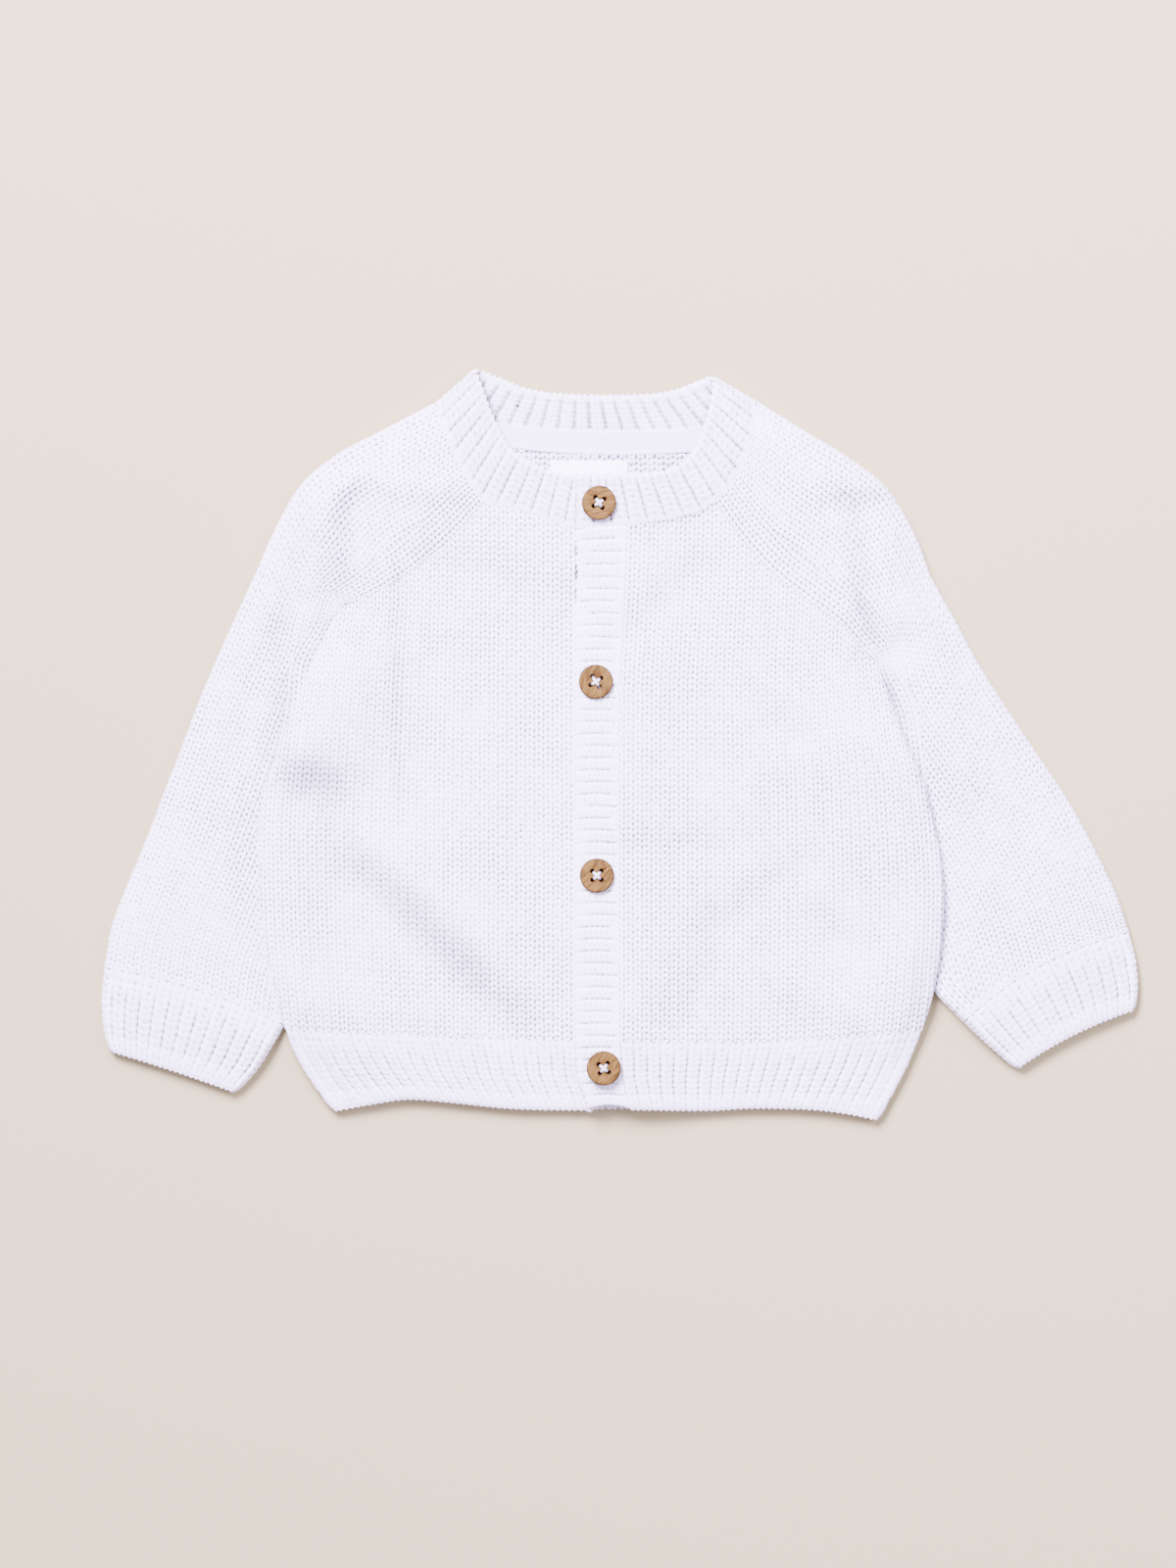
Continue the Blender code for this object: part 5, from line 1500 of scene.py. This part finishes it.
def makeButton(number, x, y, turn, grain):
    b = buttons
    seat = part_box(f"button_{number}")[0][2] / mm
    flatEnd = b["radius"] - b["edge"]
    rings = np.concatenate([np.linspace(0.0, b["dish"] - b["edge"], 30),
                            np.linspace(b["dish"] - b["edge"], flatEnd, 14)[1:]])
    faceRings = len(rings)
    height = b["thick"] - b["dishDepth"] * (1 - smoothStep((rings - b["dish"] + b["edge"]) / b["edge"]))
    crown = np.clip((rings - b["dish"]) / (b["radius"] - b["dish"]), 0, 1)
    height = height - b["crown"] * (2 * crown - 0.8) ** 2 * (crown > 0)
    quarter = np.linspace(0, math.pi / 2, 7)[1:]
    under = np.array(b["under"])
    rings = np.concatenate([rings, flatEnd + b["edge"] * np.sin(quarter), under[:, 0]])
    height = np.concatenate([height, height[-1] - b["edge"] * (1 - np.cos(quarter)), under[:, 1]])
    ring, spin = np.meshgrid(rings, np.linspace(0, 2 * math.pi, b["sides"] + 1), indexing="ij")
    tall = np.repeat(height[:, None], b["sides"] + 1, 1)
    px, py = ring * np.cos(spin), ring * np.sin(spin)
    top = np.arange(len(rings))[:, None] < faceRings
    (dark, start, run), (holeStart, holeRun) = b["rimShade"], b["holeSlope"]
    # painted shade at the rim and round the holes
    shade = dark * smoothStep((ring - b["radius"] + start) / run)
    for hx in (-b["pitch"], b["pitch"]):
        for hy in (-b["pitch"], b["pitch"]):
            near = np.hypot(px - hx, py - hy) - b["hole"]
            tall = tall - b["holeDepth"] * (1 - smoothStep((near + holeStart) / holeRun)) * top
            shade = shade + (1 - smoothStep(near / b["holeShade"])) * top
    shownX, shownY = turned(px, py, turn)
    grainX, grainY = turned(px, py, turn - grain)
    points = stack(x + shownX, y + shownY, seat + tall)
    uv = stitchUv(grainX + b["grainShift"] * number, grainY)
    makePiece(f"button_{number}", [(points, gridQuads(*ring.shape), uv, shade)], wood,
              [f"button_{number}"])
    face = seat + b["thick"] - b["dishDepth"]
    t = np.linspace(-1, 1, 17)
    parts = []
    for pair, sign in enumerate((1, -1)):
        lift = b["strandLift"] * (1 + 0.6 * pair) * (1 - t**4) - b["strandDip"] * np.abs(t) ** 8
        for aside in (-1.0, 0.0, 1.0):
            across = aside * b["strand"] * b["strandGap"] * (1 - 0.5 * t**2)
            lineX, lineY = turned(t * b["pitch"] * b["reach"] * math.sqrt(2), across, turn + sign * 45)
            parts.append(tube(stack(x + lineX, y + lineY, face + lift), b["strand"]))
    knot = np.linspace(0, 2 * math.pi, 13)
    knotPath = stack(x + b["knot"] * np.cos(knot), y + b["knot"] * np.sin(knot),
                     face + b["strandLift"] * b["knotLift"] + 0 * knot)
    parts.append(tube(knotPath, b["strand"]))
    makePiece(f"button_thread_{number}", parts, thread, [])


def tube(path, radius, sides=8):
    # a thin strand along a path, closed at its ends
    ahead = unit(np.gradient(path, axis=0))
    aside = np.cross(ahead, (0.0, 0.0, 1.0))
    aside /= np.maximum(np.linalg.norm(aside, axis=1, keepdims=True), 1e-6)
    above = np.cross(aside, ahead)
    turn = np.linspace(0, 2 * math.pi, sides + 1)
    ring = aside[:, None] * np.cos(turn)[None, :, None] + above[:, None] * np.sin(turn)[None, :, None]
    uv = stack(*np.broadcast_arrays(lengthsAlong(path)[:, None], turn[None] * radius))
    start, end = (np.repeat(path[k, None, None], sides + 1, 1) for k in (0, -1))
    points = np.concatenate([start, path[:, None] + radius * ring, end])
    uv = np.concatenate([uv[:1], uv, uv[-1:]])
    return points, gridQuads(len(points), sides + 1), uv, np.zeros(points.shape[:2])


for number, row in enumerate(buttons["places"], 1):
    makeButton(number, *row)
print("buttons ready")


# floor, light and camera

studio = {
    "floor": (0.396, 0.337, 0.167),
    "floorSize": 9000.0,
    "floorDrop": 0.2,
    "centre": (-12.4, -15.0, 5.0),  # middle of the view
    "viewHeight": 600.0,  # height of the view at the cloth
    "distance": 2000.0,
    "sensor": 36.0,
    "window": {"place": (-500.0, 1190.0, 1510.0), "size": (1150.0, 900.0), "power": 562.0,
               "aim": (2600.0, -300.0, 0.0)},
    "fill": {"place": (1000.0, 200.0, 1000.0), "size": (900.0, 900.0), "power": 27.0,
             "aim": (0.0, 0.0, 0.0)},
    "tint": (0.760, 0.674, 1.0),  # of all the light, cool as in a shaded room
    "roomLight": 1.69,
}


def drawPaper(tree):
    # slow mottling and the paper's tooth
    place = objectPlace(tree)
    return addNoise(tree, place, 1.6, 4.0), addNoise(tree, place, 900.0, 3.0)


def addFloor():
    half = studio["floorSize"] / 2 * mm
    mesh = bpy.data.meshes.new("floor")
    mesh.from_pydata([(-half, -half, 0), (half, -half, 0), (half, half, 0), (-half, half, 0)], [],
                     [(0, 1, 2, 3)])
    floor = addObject("floor", mesh)
    tints = [[c * share for c in studio["floor"]] for share in (0.985, 1.015)]
    mesh.materials.append(newMaterial("floor paper", *tints, (0.08, 0.2), {"Roughness": 0.95}, drawPaper))
    floor.location.z = -studio["floorDrop"] * mm
    floor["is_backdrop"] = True


def addLight(name):
    light = studio[name]
    lamp = bpy.data.lights.new(name, "AREA")
    lamp.shape = "RECTANGLE"
    lamp.size, lamp.size_y = light["size"][0] * mm, light["size"][1] * mm
    lamp.energy = light["power"]
    lamp.color = studio["tint"]
    shown = addObject(name, lamp)
    shown.location = Vector(light["place"]) * mm
    way = Vector(light["aim"]) * mm - shown.location
    shown.rotation_euler = way.to_track_quat("-Z", "Y").to_euler()


def addCamera():
    lens = bpy.data.cameras.new("camera")
    lens.sensor_width = studio["sensor"]
    lens.lens = studio["sensor"] * studio["distance"] / studio["viewHeight"]
    lens.clip_start, lens.clip_end = 0.1, 20.0
    camera = addObject("camera", lens)
    camera.location = Vector(studio["centre"]) * mm + Vector((0, 0, studio["distance"] * mm))
    bpy.context.scene.camera = camera


def addWorld():
    world = bpy.data.worlds.new("room")
    world.use_nodes = True
    sky = {"Color": (*studio["tint"], 1.0), "Strength": studio["roomLight"]}
    fillInputs(world.node_tree, world.node_tree.nodes["Background"], sky)
    bpy.context.scene.world = world


addFloor()
addLight("window")
addLight("fill")
addCamera()
addWorld()
print("light and camera ready")

boxes = {"cad": cadBox, "scene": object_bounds()}
{name: [list(corner) for corner in box] for name, box in boxes.items()}
